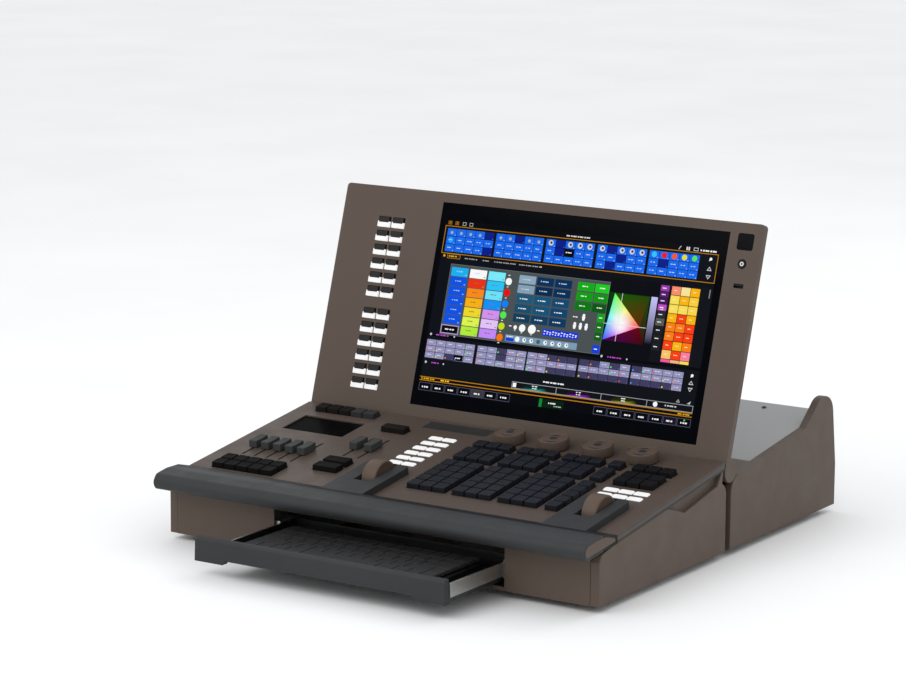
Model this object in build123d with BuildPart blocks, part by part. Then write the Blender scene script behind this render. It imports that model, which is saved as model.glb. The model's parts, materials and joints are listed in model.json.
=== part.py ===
"""Lighting control desk: sloping key panel, tilting touch display and keyboard drawer.

Millimetres, +Z up, -Y towards the operator. The origin is on the floor, under the middle
of the box that holds the desk with its drawer out. Inside the script most shapes are placed
from the back top edge of the control panel: sections are (y, z) from that edge, and
everything on the panel is (x, v), where v runs up the panel's slope and is 0 at that edge.
"""
import os
from collections import namedtuple
from math import cos, radians, sin, tan

from build123d import *

os.makedirs("parts", exist_ok=True)

# ---------------------------------------------------------------- driving dimensions
WIDTH = 620                 # over the control panel, the display and the rear cheeks
PANEL_SLOPE = 7.9           # control panel, degrees from level, rising to the back
PANEL_LENGTH = 262.5        # measured down the slope
PANEL_T = 3
PANEL_BACK_Y = 59.5         # where the panel's back top edge stands in the desk's frame
PANEL_BACK_Z = 122
FOOT_HEIGHT = 8
SHEET = 2                   # folded sheet metal
REAR_END = 301              # furthest back, from the panel's back edge

DISPLAY_ANGLE = 73.06       # display face, degrees from level, at rest
DISPLAY_TOP = 293           # up the face, from the panel's back edge
DISPLAY_GAP = 3             # from the panel's back edge to the display's face
LIP_DEPTH = 10              # thickness of the display along its edges
BULGE_DEPTH = 18            # how far the rear housing stands out behind that
PIVOT_V, PIVOT_DEPTH = -10.2, 14.6      # hinge axis, in the display's own plane

DRAWER_FRONT = -420         # face of the open keyboard drawer
RUNNING = 0.05              # radial clearance of a running fit

HALF = WIDTH / 2
FLOOR = -PANEL_BACK_Z
PAN_BOTTOM = FLOOR + FOOT_HEIGHT
SLOPE_SIN, SLOPE_COS = sin(radians(PANEL_SLOPE)), cos(radians(PANEL_SLOPE))
TILT_SIN, TILT_COS = sin(radians(DISPLAY_ANGLE)), cos(radians(DISPLAY_ANGLE))

# ---------------------------------------------------------------- planes
BACK_EDGE = (0, PANEL_BACK_Y, PANEL_BACK_Z)
panel_plane = Plane(origin=BACK_EDGE, x_dir=(1, 0, 0), z_dir=(0, -SLOPE_SIN, SLOPE_COS))
display_plane = Plane(origin=(0, PANEL_BACK_Y + DISPLAY_GAP, PANEL_BACK_Z),
                      x_dir=(1, 0, 0), z_dir=(0, -TILT_SIN, TILT_COS))
pivot = (DISPLAY_GAP + PIVOT_V * TILT_COS + PIVOT_DEPTH * TILT_SIN,
         PIVOT_V * TILT_SIN - PIVOT_DEPTH * TILT_COS)


def section(x):
    """Upright plane across the desk at x: sketch coordinates are (y, z)."""
    return Plane(origin=(x, PANEL_BACK_Y, PANEL_BACK_Z), x_dir=(0, 1, 0), z_dir=(1, 0, 0))


def level(z):
    """Level plane at height z: sketch coordinates are (x, y)."""
    return Plane(origin=(0, PANEL_BACK_Y, PANEL_BACK_Z + z))


def upright(y):
    """Upright plane facing the operator at y: sketch coordinates are (x, z)."""
    return Plane(origin=(0, PANEL_BACK_Y + y, PANEL_BACK_Z), x_dir=(1, 0, 0), z_dir=(0, -1, 0))


def over_panel(v, h):
    """Section point at v along the control panel's slope and h above it."""
    return (v * SLOPE_COS - h * SLOPE_SIN, v * SLOPE_SIN + h * SLOPE_COS)


def save(piece, label):
    piece.part.label = label
    export_step(piece.part, f"parts/{label}.step")


def box(x, y, z):
    """Box between two corners, given as (low, high) pairs, in the current part."""
    with BuildSketch(level(z[0])) as base:
        with Locations(((x[0] + x[1]) / 2, (y[0] + y[1]) / 2)):
            Rectangle(x[1] - x[0], y[1] - y[0])
    extrude(base.sketch, amount=z[1] - z[0])


# ---------------------------------------------------------------- key blocks
# Centre of the block, columns and rows of keys, their pitch, and one key's footprint.
Block = namedtuple("Block", "x v columns rows pitch key")
KEY_PITCH = (18.75, 18.7)
KEY = (17.4, 17)
FADER_PITCH = (18.6, 19)
FADER_KEY = (17.2, 17.2)
BAY_CENTRES = (19.5, 84.5, 149.5)          # the three keypad columns of the panel
SINGLE_X, RIGHT_X = 196.8, 248.5
SINGLE_ROW, DOUBLE_ROW, KEYPAD_ROW = -67.5, -103.2, -178.8

keypad_blocks = [Block(x, KEYPAD_ROW, 3, 5, KEY_PITCH, KEY) for x in BAY_CENTRES]
keypad_blocks += [Block(SINGLE_X, KEYPAD_ROW, 1, 5, KEY_PITCH, KEY)]
command_blocks = [Block(x, DOUBLE_ROW, 3, 2, KEY_PITCH, KEY) for x in BAY_CENTRES]
command_blocks += [Block(x, SINGLE_ROW, 3, 1, KEY_PITCH, KEY) for x in BAY_CENTRES]
command_blocks += [Block(SINGLE_X, DOUBLE_ROW, 1, 2, KEY_PITCH, KEY),
                   Block(SINGLE_X, SINGLE_ROW, 1, 1, KEY_PITCH, KEY)]
navigation_blocks = [Block(RIGHT_X, SINGLE_ROW, 3, 1, KEY_PITCH, KEY),
                     Block(RIGHT_X, DOUBLE_ROW, 3, 2, KEY_PITCH, KEY)]
FADER_X = -234.3                            # middle of the five playback faders
playback_blocks = [Block(FADER_X, -22, 5, 1, FADER_PITCH, FADER_KEY),
                   Block(FADER_X, -238, 5, 2, FADER_PITCH, FADER_KEY)]
MASTER_X = -135                             # middle of the two master faders
wide_blocks = [Block(MASTER_X - 1, v, 1, 1, KEY_PITCH, (35.5, 17)) for v in (-208, -186)]
wide_blocks += [Block(MASTER_X - 1, -57, 1, 1, KEY_PITCH, (35.5, 15.5))]
lit_blocks = [Block(-61, -108.2, 2, 6, (20, 18.5), (18.5, 9.8)),
              Block(249.5, -144.8, 3, 2, (21, 17.2), (19.5, 9.8))]

KEY_DEPTH, KEY_HEIGHT, KEY_SHOULDER, KEY_TAPER = 6, 6.5, 0.8, 4
LIT_HEIGHT = 1.2
KEY_CLEARANCE = 0.8
LIT_CLEARANCE = 0.4


def block_opening(block):
    """Clear opening that a whole block of keys sinks into, in the current sketch."""
    with Locations((block.x, block.v)):
        Rectangle((block.columns - 1) * block.pitch[0] + block.key[0] + 2 * KEY_CLEARANCE,
                  (block.rows - 1) * block.pitch[1] + block.key[1] + 2 * KEY_CLEARANCE)


def key_outlines(block, margin=0):
    """Footprint of every key of a block, widened by margin, in the current sketch."""
    with Locations((block.x, block.v)):
        with GridLocations(*block.pitch, block.columns, block.rows):
            Rectangle(block.key[0] + 2 * margin, block.key[1] + 2 * margin)


def keys(blocks, plane, top, taper=KEY_TAPER):
    """Key bodies through the panel, with tapered caps, in the current part."""
    for block in blocks:
        with BuildSketch(plane.offset(-KEY_DEPTH)) as stems:
            key_outlines(block)
        extrude(stems.sketch, amount=KEY_DEPTH + KEY_SHOULDER)
        with BuildSketch(plane.offset(KEY_SHOULDER)) as caps:
            key_outlines(block)
        extrude(caps.sketch, amount=top - KEY_SHOULDER, taper=taper)


# ---------------------------------------------------------------- controls on the panel
ENCODER_X = [23.7 + 63.7 * i for i in range(4)]
ENCODER_V, ENCODER_R, ENCODER_TOP = -35.4, 19.6, 14
SHAFT_R, BUSH_R = 3, 5

playback_x = [FADER_X + FADER_PITCH[0] * (i - 2) for i in range(5)]
PLAYBACK_V = -167
MASTER_PITCH, MASTER_V = 22.3, -124.7
master_x = [MASTER_X + MASTER_PITCH * (i - 0.5) for i in range(2)]
faders = [(x, PLAYBACK_V) for x in playback_x] + [(x, MASTER_V) for x in master_x]
FADER_SLOT = (3.2, 72)
FADER_CAP = (11.4, 26.4, 10.4)
FADER_DISH_R, FADER_DISH_DEPTH = 60, 0.8

WHEEL_X = (-60, 252.5)
WHEEL_V, WHEEL_H, WHEEL_R, WHEEL_WIDTH = -207.2, -4.3, 26, 20
AXLE_R, AXLE_END = 2.5, 17                  # the axle's ends, from the wheel's middle
WHEEL_SLOT = (25, -245, -180.3)              # width, and ends of the slot along the slope
INLAY_WIDTH, INLAY_HEIGHT, INLAY_BACK, INLAY_CORNER = 61, 9, -178, 9
INLAY_SHIFT = -2                            # inlay's middle, from its wheel's middle

SCREEN_RECESS = (FADER_X - 1, -75.2, 94, 53.6)      # small display: x, v, width, depth
PLATE_RECESS = (-64, -20.5, 97, 25)         # blank name plate

# ---------------------------------------------------------------- display unit
GLASS = (-156.5, 264.1, 14.8, 279.6)        # left, right, bottom and top edges
ACTIVE = (410, 231)
DISPLAY_KEY_X = -231.4
display_blocks = [Block(DISPLAY_KEY_X, v, 2, 6, (21.8, 18.45), (18.6, 13.6)) for v in (200, 78.7)]
RIGHT_STRIP_X = 287
WINDOW_V, POWER_V, PORT_V = 269.5, 242, 214.5
POWER_R = 5.5
HINGE_X = (-180, 180)

# ---------------------------------------------------------------- body of the desk
BODY_FRONT, BODY_BACK = -300, 290
FRONT_WALL_TOP = -51
SIDE_T, SIDE_INNER = 12, HALF - 12
TRIM_TOP, TRIM_BOTTOM = -7, -10             # dark strip below the panel's side skirt
DRAWER_X = (-180.5, 177.6)
DRAWER_Z = (-105, -75)
BAY_X, BAY_TOP, BAY_BACK = (-150, 182), -62, -60
TRAY_X = (-143, 177)
TRAY_Y = (DRAWER_FRONT + 10, -262)
TRAY_BOTTOM = -103
RAIL_T, RAIL_Z, RAIL_BACK = 2, (-97, -80), -180

with BuildPart() as base_pan:
    pan_y = (BODY_FRONT + SHEET, BODY_BACK - SHEET)
    box((-SIDE_INNER, SIDE_INNER), pan_y, (PAN_BOTTOM, PAN_BOTTOM + SHEET))
    for side in (-1, 1):
        edge = sorted((side * SIDE_INNER, side * (SIDE_INNER - SHEET)))
        box(edge, pan_y, (PAN_BOTTOM + SHEET, PAN_BOTTOM + 16))
    with BuildSketch(level(PAN_BOTTOM)):
        with Locations((-170, 200), (170, 200)):
            with GridLocations(14, 0, 9, 1):
                SlotOverall(44, 5, rotation=90)
    extrude(amount=SHEET, mode=Mode.SUBTRACT)
    with BuildSketch(upright(BODY_FRONT)):
        with Locations((0, (PAN_BOTTOM + FRONT_WALL_TOP) / 2)):
            Rectangle(2 * SIDE_INNER, FRONT_WALL_TOP - PAN_BOTTOM)
        with Locations(((BAY_X[0] + BAY_X[1]) / 2, (PAN_BOTTOM + 5 + BAY_TOP) / 2)):
            Rectangle(BAY_X[1] - BAY_X[0], BAY_TOP - PAN_BOTTOM - 5, mode=Mode.SUBTRACT)
    extrude(amount=-SHEET)
save(base_pan, "base_pan")

BAY_WALL, BAY_SHEET, CHANNEL_GAP = 2, 1.5, 0.4
channel_y = (BODY_FRONT + 4, BAY_BACK - 6)
with BuildPart() as drawer_bay:
    bay_y = (BODY_FRONT + SHEET, BAY_BACK)
    outer = (BAY_X[0] - BAY_WALL - BAY_SHEET, BAY_X[1] + BAY_WALL + BAY_SHEET)
    box(outer, bay_y, (BAY_TOP, BAY_TOP + BAY_SHEET))
    for wall, bar, side in ((outer[0], TRAY_X[0] - RAIL_T, 1), (outer[1], TRAY_X[1] + RAIL_T, -1)):
        box(sorted((wall, wall + side * BAY_SHEET)), bay_y, (PAN_BOTTOM + SHEET, BAY_TOP))
        box(sorted((wall, bar - side * CHANNEL_GAP)), channel_y, (RAIL_Z[0] - 2.4, RAIL_Z[1] + 2.4))
        for low, high in ((RAIL_Z[1] + CHANNEL_GAP, RAIL_Z[1] + 2.4),
                          (RAIL_Z[0] - 2.4, RAIL_Z[0] - CHANNEL_GAP)):
            box(sorted((bar - side * CHANNEL_GAP, bar + side * 1.4)), channel_y, (low, high))
save(drawer_bay, "drawer_bay")

# Side panels: rounded front corner, top edge under the trim strip, and a hand scoop.
SCOOP_DEPTH = 7
side_top_front, side_top_back = over_panel(-275, TRIM_BOTTOM), over_panel(-6, TRIM_BOTTOM)
with BuildPart() as side_panels:
    for side in (-1, 1):
        with BuildSketch(section(side * SIDE_INNER)):
            with BuildLine():
                Polyline(side_top_front, (-294, -53), (BODY_FRONT, -62), (BODY_FRONT, PAN_BOTTOM),
                         (4, PAN_BOTTOM), (4, -42))
                ThreePointArc((4, -42), (1, -32), (-7, -26))
                Polyline((-7, -26), side_top_back, side_top_front)
            make_face()
        extrude(amount=side * SIDE_T)
        with BuildSketch(section(side * HALF)):
            with BuildLine():
                Polyline((-143, -29), (-99.5, -43), (-20, -27), (-8, -10), close=True)
            make_face()
        extrude(amount=-side * SCOOP_DEPTH, mode=Mode.SUBTRACT)
save(side_panels, "side_panels")

# Rear cheeks: flat plates with a rounded front shoulder and a nose that the display rests on.
CHEEK_T = 10
SHOULDER_R = 22
CHEEK_FRONT, CHEEK_DROP = 16, 26.3      # the cheek's sloping edge lies this far below the panel's plane
shoulder_z = (CHEEK_FRONT + SHOULDER_R) * tan(radians(PANEL_SLOPE)) - CHEEK_DROP - SHOULDER_R / SLOPE_COS
shoulder_end = (CHEEK_FRONT + SHOULDER_R * (1 - SLOPE_SIN), shoulder_z + SHOULDER_R * SLOPE_COS)
shoulder_middle = (CHEEK_FRONT + SHOULDER_R * (1 - cos(radians(45))),
                   shoulder_z + SHOULDER_R * sin(radians(45)))
with BuildPart() as rear_cheeks:
    for side in (-1, 1):
        with BuildSketch(section(side * (HALF - CHEEK_T))):
            with BuildLine():
                Polyline((CHEEK_FRONT, shoulder_z), (CHEEK_FRONT, PAN_BOTTOM), (REAR_END, PAN_BOTTOM),
                         (REAR_END, -60), (291, 12))
                Spline((291, 12), (282, 29), (263, 35.2), tangents=((-0.12, 1), (-1, 0)))
                ThreePointArc((263, 35.2), (252, 33), (244, 27.5))
                Polyline((244, 27.5), (213, 2.8), shoulder_end)
                ThreePointArc(shoulder_end, shoulder_middle, (CHEEK_FRONT, shoulder_z))
            make_face()
        extrude(amount=side * CHEEK_T)
save(rear_cheeks, "rear_cheeks")

# Crossbar between the cheeks: a hollow beam that carries the display's hinges.
BEAM_FRONT, BEAM_BACK, BEAM_BOTTOM = 30, 88, -58
cheek_inner = HALF - CHEEK_T
with BuildPart() as hinge_crossbar:
    with BuildSketch(section(-cheek_inner)):
        with BuildLine() as beam_outline:
            Polyline((BEAM_FRONT, BEAM_BOTTOM), (BEAM_BACK, BEAM_BOTTOM), (BEAM_BACK, -17.2),
                     (40, -24), (BEAM_FRONT, -31), close=True)
        make_face()
        offset(amount=-2.5, kind=Kind.INTERSECTION, mode=Mode.SUBTRACT)
    extrude(amount=2 * cheek_inner)
save(hinge_crossbar, "hinge_crossbar")

DECK_FRONT, DECK_DROP = BEAM_BACK, 3
deck_front_z = -17.2 - 0.1
deck_back_z = deck_front_z + (BODY_BACK - DECK_FRONT) * tan(radians(PANEL_SLOPE))
with BuildPart() as rear_deck_cover:
    with BuildSketch(section(-cheek_inner)):
        with BuildLine():
            Polyline((DECK_FRONT, deck_front_z), (BODY_BACK, deck_back_z), (BODY_BACK, deck_back_z - 14),
                     (BODY_BACK - SHEET, deck_back_z - 14), (BODY_BACK - SHEET, deck_back_z - SHEET - 0.3),
                     (DECK_FRONT, deck_front_z - SHEET), close=True)
        make_face()
    extrude(amount=2 * cheek_inner)
save(rear_deck_cover, "rear_deck_cover")

# Rear panel and what is let into it.
PORT_Z = -58
INLET_X, SWITCH_X, SWITCH_Z = -250, -212, -58
data_ports = [(x, PORT_Z, 15, 13) for x in (-20, 0, 60, 82)]
round_ports = [(x, PORT_Z) for x in (128, 160, 192, 224)]
video_ports = [(x, PORT_Z - 28, 18, 8) for x in (-30, 0)]
with BuildPart() as rear_panel:
    with BuildSketch(upright(BODY_BACK)):
        with Locations((0, (PAN_BOTTOM + deck_back_z - 14) / 2)):
            Rectangle(2 * cheek_inner, deck_back_z - 14 - PAN_BOTTOM)
        for x, z, width, height in data_ports + video_ports:
            with Locations((x, z)):
                Rectangle(width, height, mode=Mode.SUBTRACT)
        with Locations(*round_ports):
            Circle(11, mode=Mode.SUBTRACT)
        with Locations((INLET_X, PORT_Z)):
            Rectangle(27.4, 20.4, mode=Mode.SUBTRACT)
        with Locations((SWITCH_X, SWITCH_Z)):
            Rectangle(13.4, 19.4, mode=Mode.SUBTRACT)
        with Locations((-120, PORT_Z)):
            with GridLocations(7, 0, 9, 1):
                SlotOverall(46, 3.4, rotation=90, mode=Mode.SUBTRACT)
    extrude(amount=SHEET)
save(rear_panel, "rear_panel")

with BuildPart() as rear_connectors:
    for x, z, width, height in data_ports + video_ports:
        with BuildSketch(upright(BODY_BACK + 1.2)):
            with Locations((x, z)):
                Rectangle(width - 0.2, height - 0.2)
                Rectangle(width - 3, height - 3, mode=Mode.SUBTRACT)
        extrude(amount=14)
        with BuildSketch(upright(BODY_BACK - 10)):
            with Locations((x, z)):
                Rectangle(width - 0.2, height - 0.2)
        extrude(amount=2.8)
    for x, z in round_ports:
        with BuildSketch(upright(BODY_BACK + 2)):
            with Locations((x, z)):
                Circle(10.9)
        extrude(amount=16)
        with BuildSketch(upright(BODY_BACK + 1.6)):
            with Locations((x, z)):
                RectangleRounded(26, 31, 3)
        extrude(amount=1.6)
        with BuildSketch(upright(BODY_BACK + 2)):
            with Locations((x, z)):
                Circle(9.5)
        extrude(amount=3, mode=Mode.SUBTRACT)
save(rear_connectors, "rear_connectors")

ROCKER_Y = BODY_BACK - 5
ROCKER_AXLE_R, ROCKER_AXLE_END = 1.2, 6.2
with BuildPart() as power_inlet:
    with BuildSketch(upright(BODY_BACK)):
        with Locations((INLET_X, PORT_Z)):
            RectangleRounded(48, 24, 3)
    extrude(amount=-2.4)
    with BuildSketch(upright(BODY_BACK)):
        with Locations((INLET_X, PORT_Z)):
            Rectangle(27, 20)
    extrude(amount=22)
    with BuildSketch(upright(BODY_BACK + 2.4)):
        with Locations((INLET_X, PORT_Z)):
            Rectangle(24, 16.5)
    extrude(amount=18, mode=Mode.SUBTRACT)
    with BuildSketch(upright(BODY_BACK - 2)):
        with Locations((INLET_X - 7, PORT_Z - 2), (INLET_X, PORT_Z + 3), (INLET_X + 7, PORT_Z - 2)):
            Rectangle(1.6, 5)
    extrude(amount=14)
    for low, high, depth in ((17, 24, -1.2), (13.2, 19.2, 12)):
        with BuildSketch(upright(BODY_BACK)):
            with Locations((SWITCH_X, SWITCH_Z)):
                Rectangle(low, high)
                Rectangle(10.6, 16.6, mode=Mode.SUBTRACT)
        extrude(amount=depth)
    with BuildSketch(section(SWITCH_X - ROCKER_AXLE_END - 0.1)):
        with Locations((ROCKER_Y, SWITCH_Z)):
            Circle(ROCKER_AXLE_R + RUNNING)
    extrude(amount=2 * ROCKER_AXLE_END + 0.2, mode=Mode.SUBTRACT)
save(power_inlet, "power_inlet")

# Rocker: a wedge that swings on its axle in the switch's housing.
with BuildPart() as power_rocker:
    with BuildSketch(section(SWITCH_X - 5)):
        with BuildLine():
            Polyline(*[(ROCKER_Y + y, SWITCH_Z + z) for y, z in
                       ((-2, -6.2), (4.6, -6.9), (3.4, 0), (6.4, 6), (-2, 6.2))], close=True)
        make_face()
    extrude(amount=10)
    with BuildSketch(section(SWITCH_X - ROCKER_AXLE_END)):
        with Locations((ROCKER_Y, SWITCH_Z)):
            Circle(ROCKER_AXLE_R)
    extrude(amount=2 * ROCKER_AXLE_END)
save(power_rocker, "power_rocker")

with BuildPart() as feet:
    with BuildSketch(level(FLOOR)):
        with GridLocations(540, 530, 2, 2):
            Circle(11)
    extrude(amount=FOOT_HEIGHT, taper=-6)
save(feet, "feet")

# ---------------------------------------------------------------- control panel and trim
# The panel has two hangers welded under it for each wheel's axle.
SKIRT_T, SKIRT_BACK = 2, -2
HANGER_X = 13.5
with BuildPart() as control_panel:
    with BuildSketch(panel_plane):
        with Locations((0, -PANEL_LENGTH / 2 - 0.3)):
            Rectangle(WIDTH, PANEL_LENGTH - 0.6)
        for block in (keypad_blocks + command_blocks + navigation_blocks + playback_blocks
                      + wide_blocks):
            with BuildSketch(mode=Mode.SUBTRACT):
                block_opening(block)
        for block in lit_blocks:
            with BuildSketch(mode=Mode.SUBTRACT):
                key_outlines(block, LIT_CLEARANCE)
        with Locations(*[(x, ENCODER_V) for x in ENCODER_X]):
            Circle(BUSH_R + 0.1, mode=Mode.SUBTRACT)
        with Locations(*faders):
            SlotOverall(FADER_SLOT[1], FADER_SLOT[0], rotation=90, mode=Mode.SUBTRACT)
        with Locations(*[(x, (WHEEL_SLOT[1] + WHEEL_SLOT[2]) / 2) for x in WHEEL_X]):
            Rectangle(WHEEL_SLOT[0], WHEEL_SLOT[2] - WHEEL_SLOT[1], mode=Mode.SUBTRACT)
        with Locations(SCREEN_RECESS[:2]):
            Rectangle(*SCREEN_RECESS[2:], mode=Mode.SUBTRACT)
    extrude(amount=-PANEL_T)
    for side in (-1, 1):
        with BuildSketch(panel_plane.offset(-PANEL_T)):
            with Locations((side * (HALF - SKIRT_T / 2), (SKIRT_BACK - PANEL_LENGTH) / 2)):
                Rectangle(SKIRT_T, SKIRT_BACK + PANEL_LENGTH)
        extrude(amount=TRIM_TOP + PANEL_T)
    with BuildSketch(panel_plane):
        with Locations(PLATE_RECESS[:2]):
            Rectangle(*PLATE_RECESS[2:])
    extrude(amount=-1, mode=Mode.SUBTRACT)
    for wheel_x in WHEEL_X:
        for side in (-1, 1):
            with BuildSketch(section(wheel_x + side * HANGER_X)):
                with BuildLine():
                    Polyline(over_panel(WHEEL_V - 12, 0.5 - PANEL_T), over_panel(WHEEL_V + 12, 0.5 - PANEL_T),
                             over_panel(WHEEL_V + 8, WHEEL_H - 8), over_panel(WHEEL_V - 8, WHEEL_H - 8),
                             close=True)
                make_face()
            extrude(amount=side * 3)
            with BuildSketch(section(wheel_x + side * WHEEL_SLOT[0] / 2)):
                with Locations(over_panel(WHEEL_V, WHEEL_H)):
                    Circle(AXLE_R + RUNNING)
            extrude(amount=side * (AXLE_END + 0.2 - WHEEL_SLOT[0] / 2), mode=Mode.SUBTRACT)
save(control_panel, "control_panel")

with BuildPart() as side_trims:
    for side in (-1, 1):
        with BuildSketch(section(side * HALF)):
            with BuildLine():
                Polyline(over_panel(-PANEL_LENGTH, TRIM_TOP), over_panel(-3, TRIM_TOP),
                         over_panel(-3, TRIM_BOTTOM), over_panel(-PANEL_LENGTH, TRIM_BOTTOM), close=True)
            make_face()
        extrude(amount=-side * 14)
save(side_trims, "side_trims")

# Armrest: hollow moulding with a rounded nose; its back edge slopes down to the panel.
ARMREST_T = 3
END_CAP_T = 5
armrest_back_top = (-283.5, -30.2)
armrest_panel_edge = over_panel(-PANEL_LENGTH - 0.4, -0.2)
armrest_under = over_panel(-PANEL_LENGTH - 0.4, TRIM_BOTTOM)


def armrest_profile(x, inset):
    """Armrest's section at x, drawn in by inset, with its nose rounded."""
    with BuildSketch(section(x)) as profile:
        with BuildLine():
            Polyline(armrest_panel_edge, armrest_back_top, (-307, -30.2), (-328, -33.6), (-334.5, -43),
                     (-329.5, -54), armrest_under, close=True)
        make_face()
        if inset:
            offset(amount=-inset, kind=Kind.INTERSECTION, mode=Mode.REPLACE)
        fillet(profile.vertices().sort_by(Axis.X)[:3], 8 - inset)
        fillet(profile.vertices().sort_by(Axis.X).sort_by(
            lambda vertex: abs(vertex.X + 307))[0], 40)
    return profile.sketch


with BuildPart() as armrest:
    extrude(armrest_profile(-HALF, 0), amount=WIDTH)
    extrude(armrest_profile(-HALF, ARMREST_T), amount=WIDTH, mode=Mode.SUBTRACT)
save(armrest, "armrest")

with BuildPart() as armrest_end_caps:
    for side in (-1, 1):
        extrude(armrest_profile(side * (HALF - 0.4), ARMREST_T + 0.05), amount=-side * END_CAP_T)
save(armrest_end_caps, "armrest_end_caps")

# Wheel inlays: raised mouldings that run from the armrest's top back over the panel.
with BuildPart() as wheel_inlays:
    for wheel_x in WHEEL_X:
        middle = wheel_x + INLAY_SHIFT
        with BuildSketch(section(middle - INLAY_WIDTH / 2)):
            with BuildLine():
                Polyline((-283.0, -30.25), over_panel(-PANEL_LENGTH - 0.4, 0), over_panel(INLAY_BACK, 0),
                         over_panel(INLAY_BACK, INLAY_HEIGHT - 3))
                TangentArc(over_panel(INLAY_BACK, INLAY_HEIGHT - 3), over_panel(INLAY_BACK - 3, INLAY_HEIGHT),
                           tangent=(-SLOPE_SIN, SLOPE_COS))
                Line(over_panel(INLAY_BACK - 3, INLAY_HEIGHT), (-283.0, -30.25))
            make_face()
        extrude(amount=INLAY_WIDTH)
        with BuildSketch(panel_plane):
            for side in (-1, 1):
                corner_x = middle + side * (INLAY_WIDTH - INLAY_CORNER) / 2
                with Locations((corner_x, INLAY_BACK - INLAY_CORNER / 2)):
                    Rectangle(INLAY_CORNER, INLAY_CORNER)
                with Locations((corner_x - side * INLAY_CORNER / 2, INLAY_BACK - INLAY_CORNER)):
                    Circle(INLAY_CORNER, mode=Mode.SUBTRACT)
        extrude(amount=INLAY_HEIGHT + 1, mode=Mode.SUBTRACT)
        with BuildSketch(panel_plane.offset(-1)):
            with Locations((wheel_x, (WHEEL_SLOT[1] + WHEEL_SLOT[2]) / 2)):
                Rectangle(WHEEL_SLOT[0] - 1, WHEEL_SLOT[2] - WHEEL_SLOT[1] - 1)
        extrude(amount=INLAY_HEIGHT + 2, mode=Mode.SUBTRACT)
save(wheel_inlays, "wheel_inlays")

wheel_centre = over_panel(WHEEL_V, WHEEL_H)
for wheel_x, label in zip(WHEEL_X, ("left", "right")):
    with BuildPart() as thumb_wheel:
        with BuildSketch(section(wheel_x - WHEEL_WIDTH / 2)):
            with Locations(wheel_centre):
                Circle(WHEEL_R)
        extrude(amount=WHEEL_WIDTH)
        chamfer(thumb_wheel.edges().filter_by(GeomType.CIRCLE), length=1)
        with BuildSketch(section(wheel_x - AXLE_END)):
            with Locations(wheel_centre):
                Circle(AXLE_R)
        extrude(amount=2 * AXLE_END)
    save(thumb_wheel, f"thumb_wheel_{label}")

# ---------------------------------------------------------------- encoders and faders
with BuildPart() as encoder_modules:
    for x in ENCODER_X:
        with BuildSketch(panel_plane.offset(-11)):
            with Locations((x, ENCODER_V)):
                RectangleRounded(16, 16, 1.5)
        extrude(amount=11 - PANEL_T)
        with BuildSketch(panel_plane.offset(-PANEL_T)):
            with Locations((x, ENCODER_V)):
                Circle(BUSH_R)
        extrude(amount=PANEL_T + 0.4)
        with BuildSketch(panel_plane.offset(-9.5)):
            with Locations((x, ENCODER_V)):
                Circle(SHAFT_R + RUNNING)
        extrude(amount=12, mode=Mode.SUBTRACT)
save(encoder_modules, "encoder_modules")

for index, x in enumerate(ENCODER_X, start=1):
    with BuildPart() as encoder_knob:
        with BuildSketch(panel_plane.offset(1)):
            with Locations((x, ENCODER_V)):
                Circle(ENCODER_R)
        extrude(amount=ENCODER_TOP - 1)
        fillet(encoder_knob.edges().sort_by(Axis(BACK_EDGE, panel_plane.z_dir))[-1], 1.4)
        with BuildSketch(panel_plane.offset(ENCODER_TOP)):
            with Locations((x, ENCODER_V)):
                Circle(ENCODER_R - 2.6)
        extrude(amount=-0.8, mode=Mode.SUBTRACT)
        with BuildSketch(panel_plane.offset(-9)):
            with Locations((x, ENCODER_V)):
                Circle(SHAFT_R)
        extrude(amount=10)
    save(encoder_knob, f"encoder_knob_{index}")

FADER_DEPTH = 12
with BuildPart() as fader_tracks:
    for x, v in faders:
        with BuildSketch(panel_plane.offset(-PANEL_T - FADER_DEPTH)):
            with Locations((x, v)):
                Rectangle(13, 86)
        extrude(amount=FADER_DEPTH)
        with BuildSketch(panel_plane.offset(-PANEL_T - FADER_DEPTH + 2)):
            with Locations((x, v)):
                Rectangle(4, 76)
        extrude(amount=FADER_DEPTH - 2, mode=Mode.SUBTRACT)
save(fader_tracks, "fader_tracks")

fader_names = [f"playback_fader_{i}" for i in range(1, 6)] + ["master_fader_1", "master_fader_2"]
for (x, v), label in zip(faders, fader_names):
    with BuildPart() as fader:
        with BuildSketch(panel_plane.offset(0.8)):
            with Locations((x, v)):
                RectangleRounded(*FADER_CAP[:2], 1.5)
        extrude(amount=FADER_CAP[2] - 0.8, taper=3)
        with BuildSketch(section(x - FADER_CAP[0])):
            with Locations(over_panel(v, FADER_CAP[2] + FADER_DISH_R - FADER_DISH_DEPTH)):
                Circle(FADER_DISH_R)
        extrude(amount=2 * FADER_CAP[0], mode=Mode.SUBTRACT)
        with BuildSketch(panel_plane.offset(-PANEL_T - 8)):
            with Locations((x, v)):
                Rectangle(1.8, 9)
        extrude(amount=PANEL_T + 8 + 1.5)
    save(fader, label)

# ---------------------------------------------------------------- keys of the control panel
for blocks, top, label in ((keypad_blocks, KEY_HEIGHT, "keypad_keys"),
                           (command_blocks, KEY_HEIGHT, "command_keys"),
                           (navigation_blocks, KEY_HEIGHT, "navigation_keys"),
                           (playback_blocks, KEY_HEIGHT, "playback_keys"),
                           (wide_blocks, KEY_HEIGHT, "wide_keys"),
                           (lit_blocks, LIT_HEIGHT, "backlit_keys")):
    with BuildPart() as key_group:
        keys(blocks, panel_plane, top)
    save(key_group, label)

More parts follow.
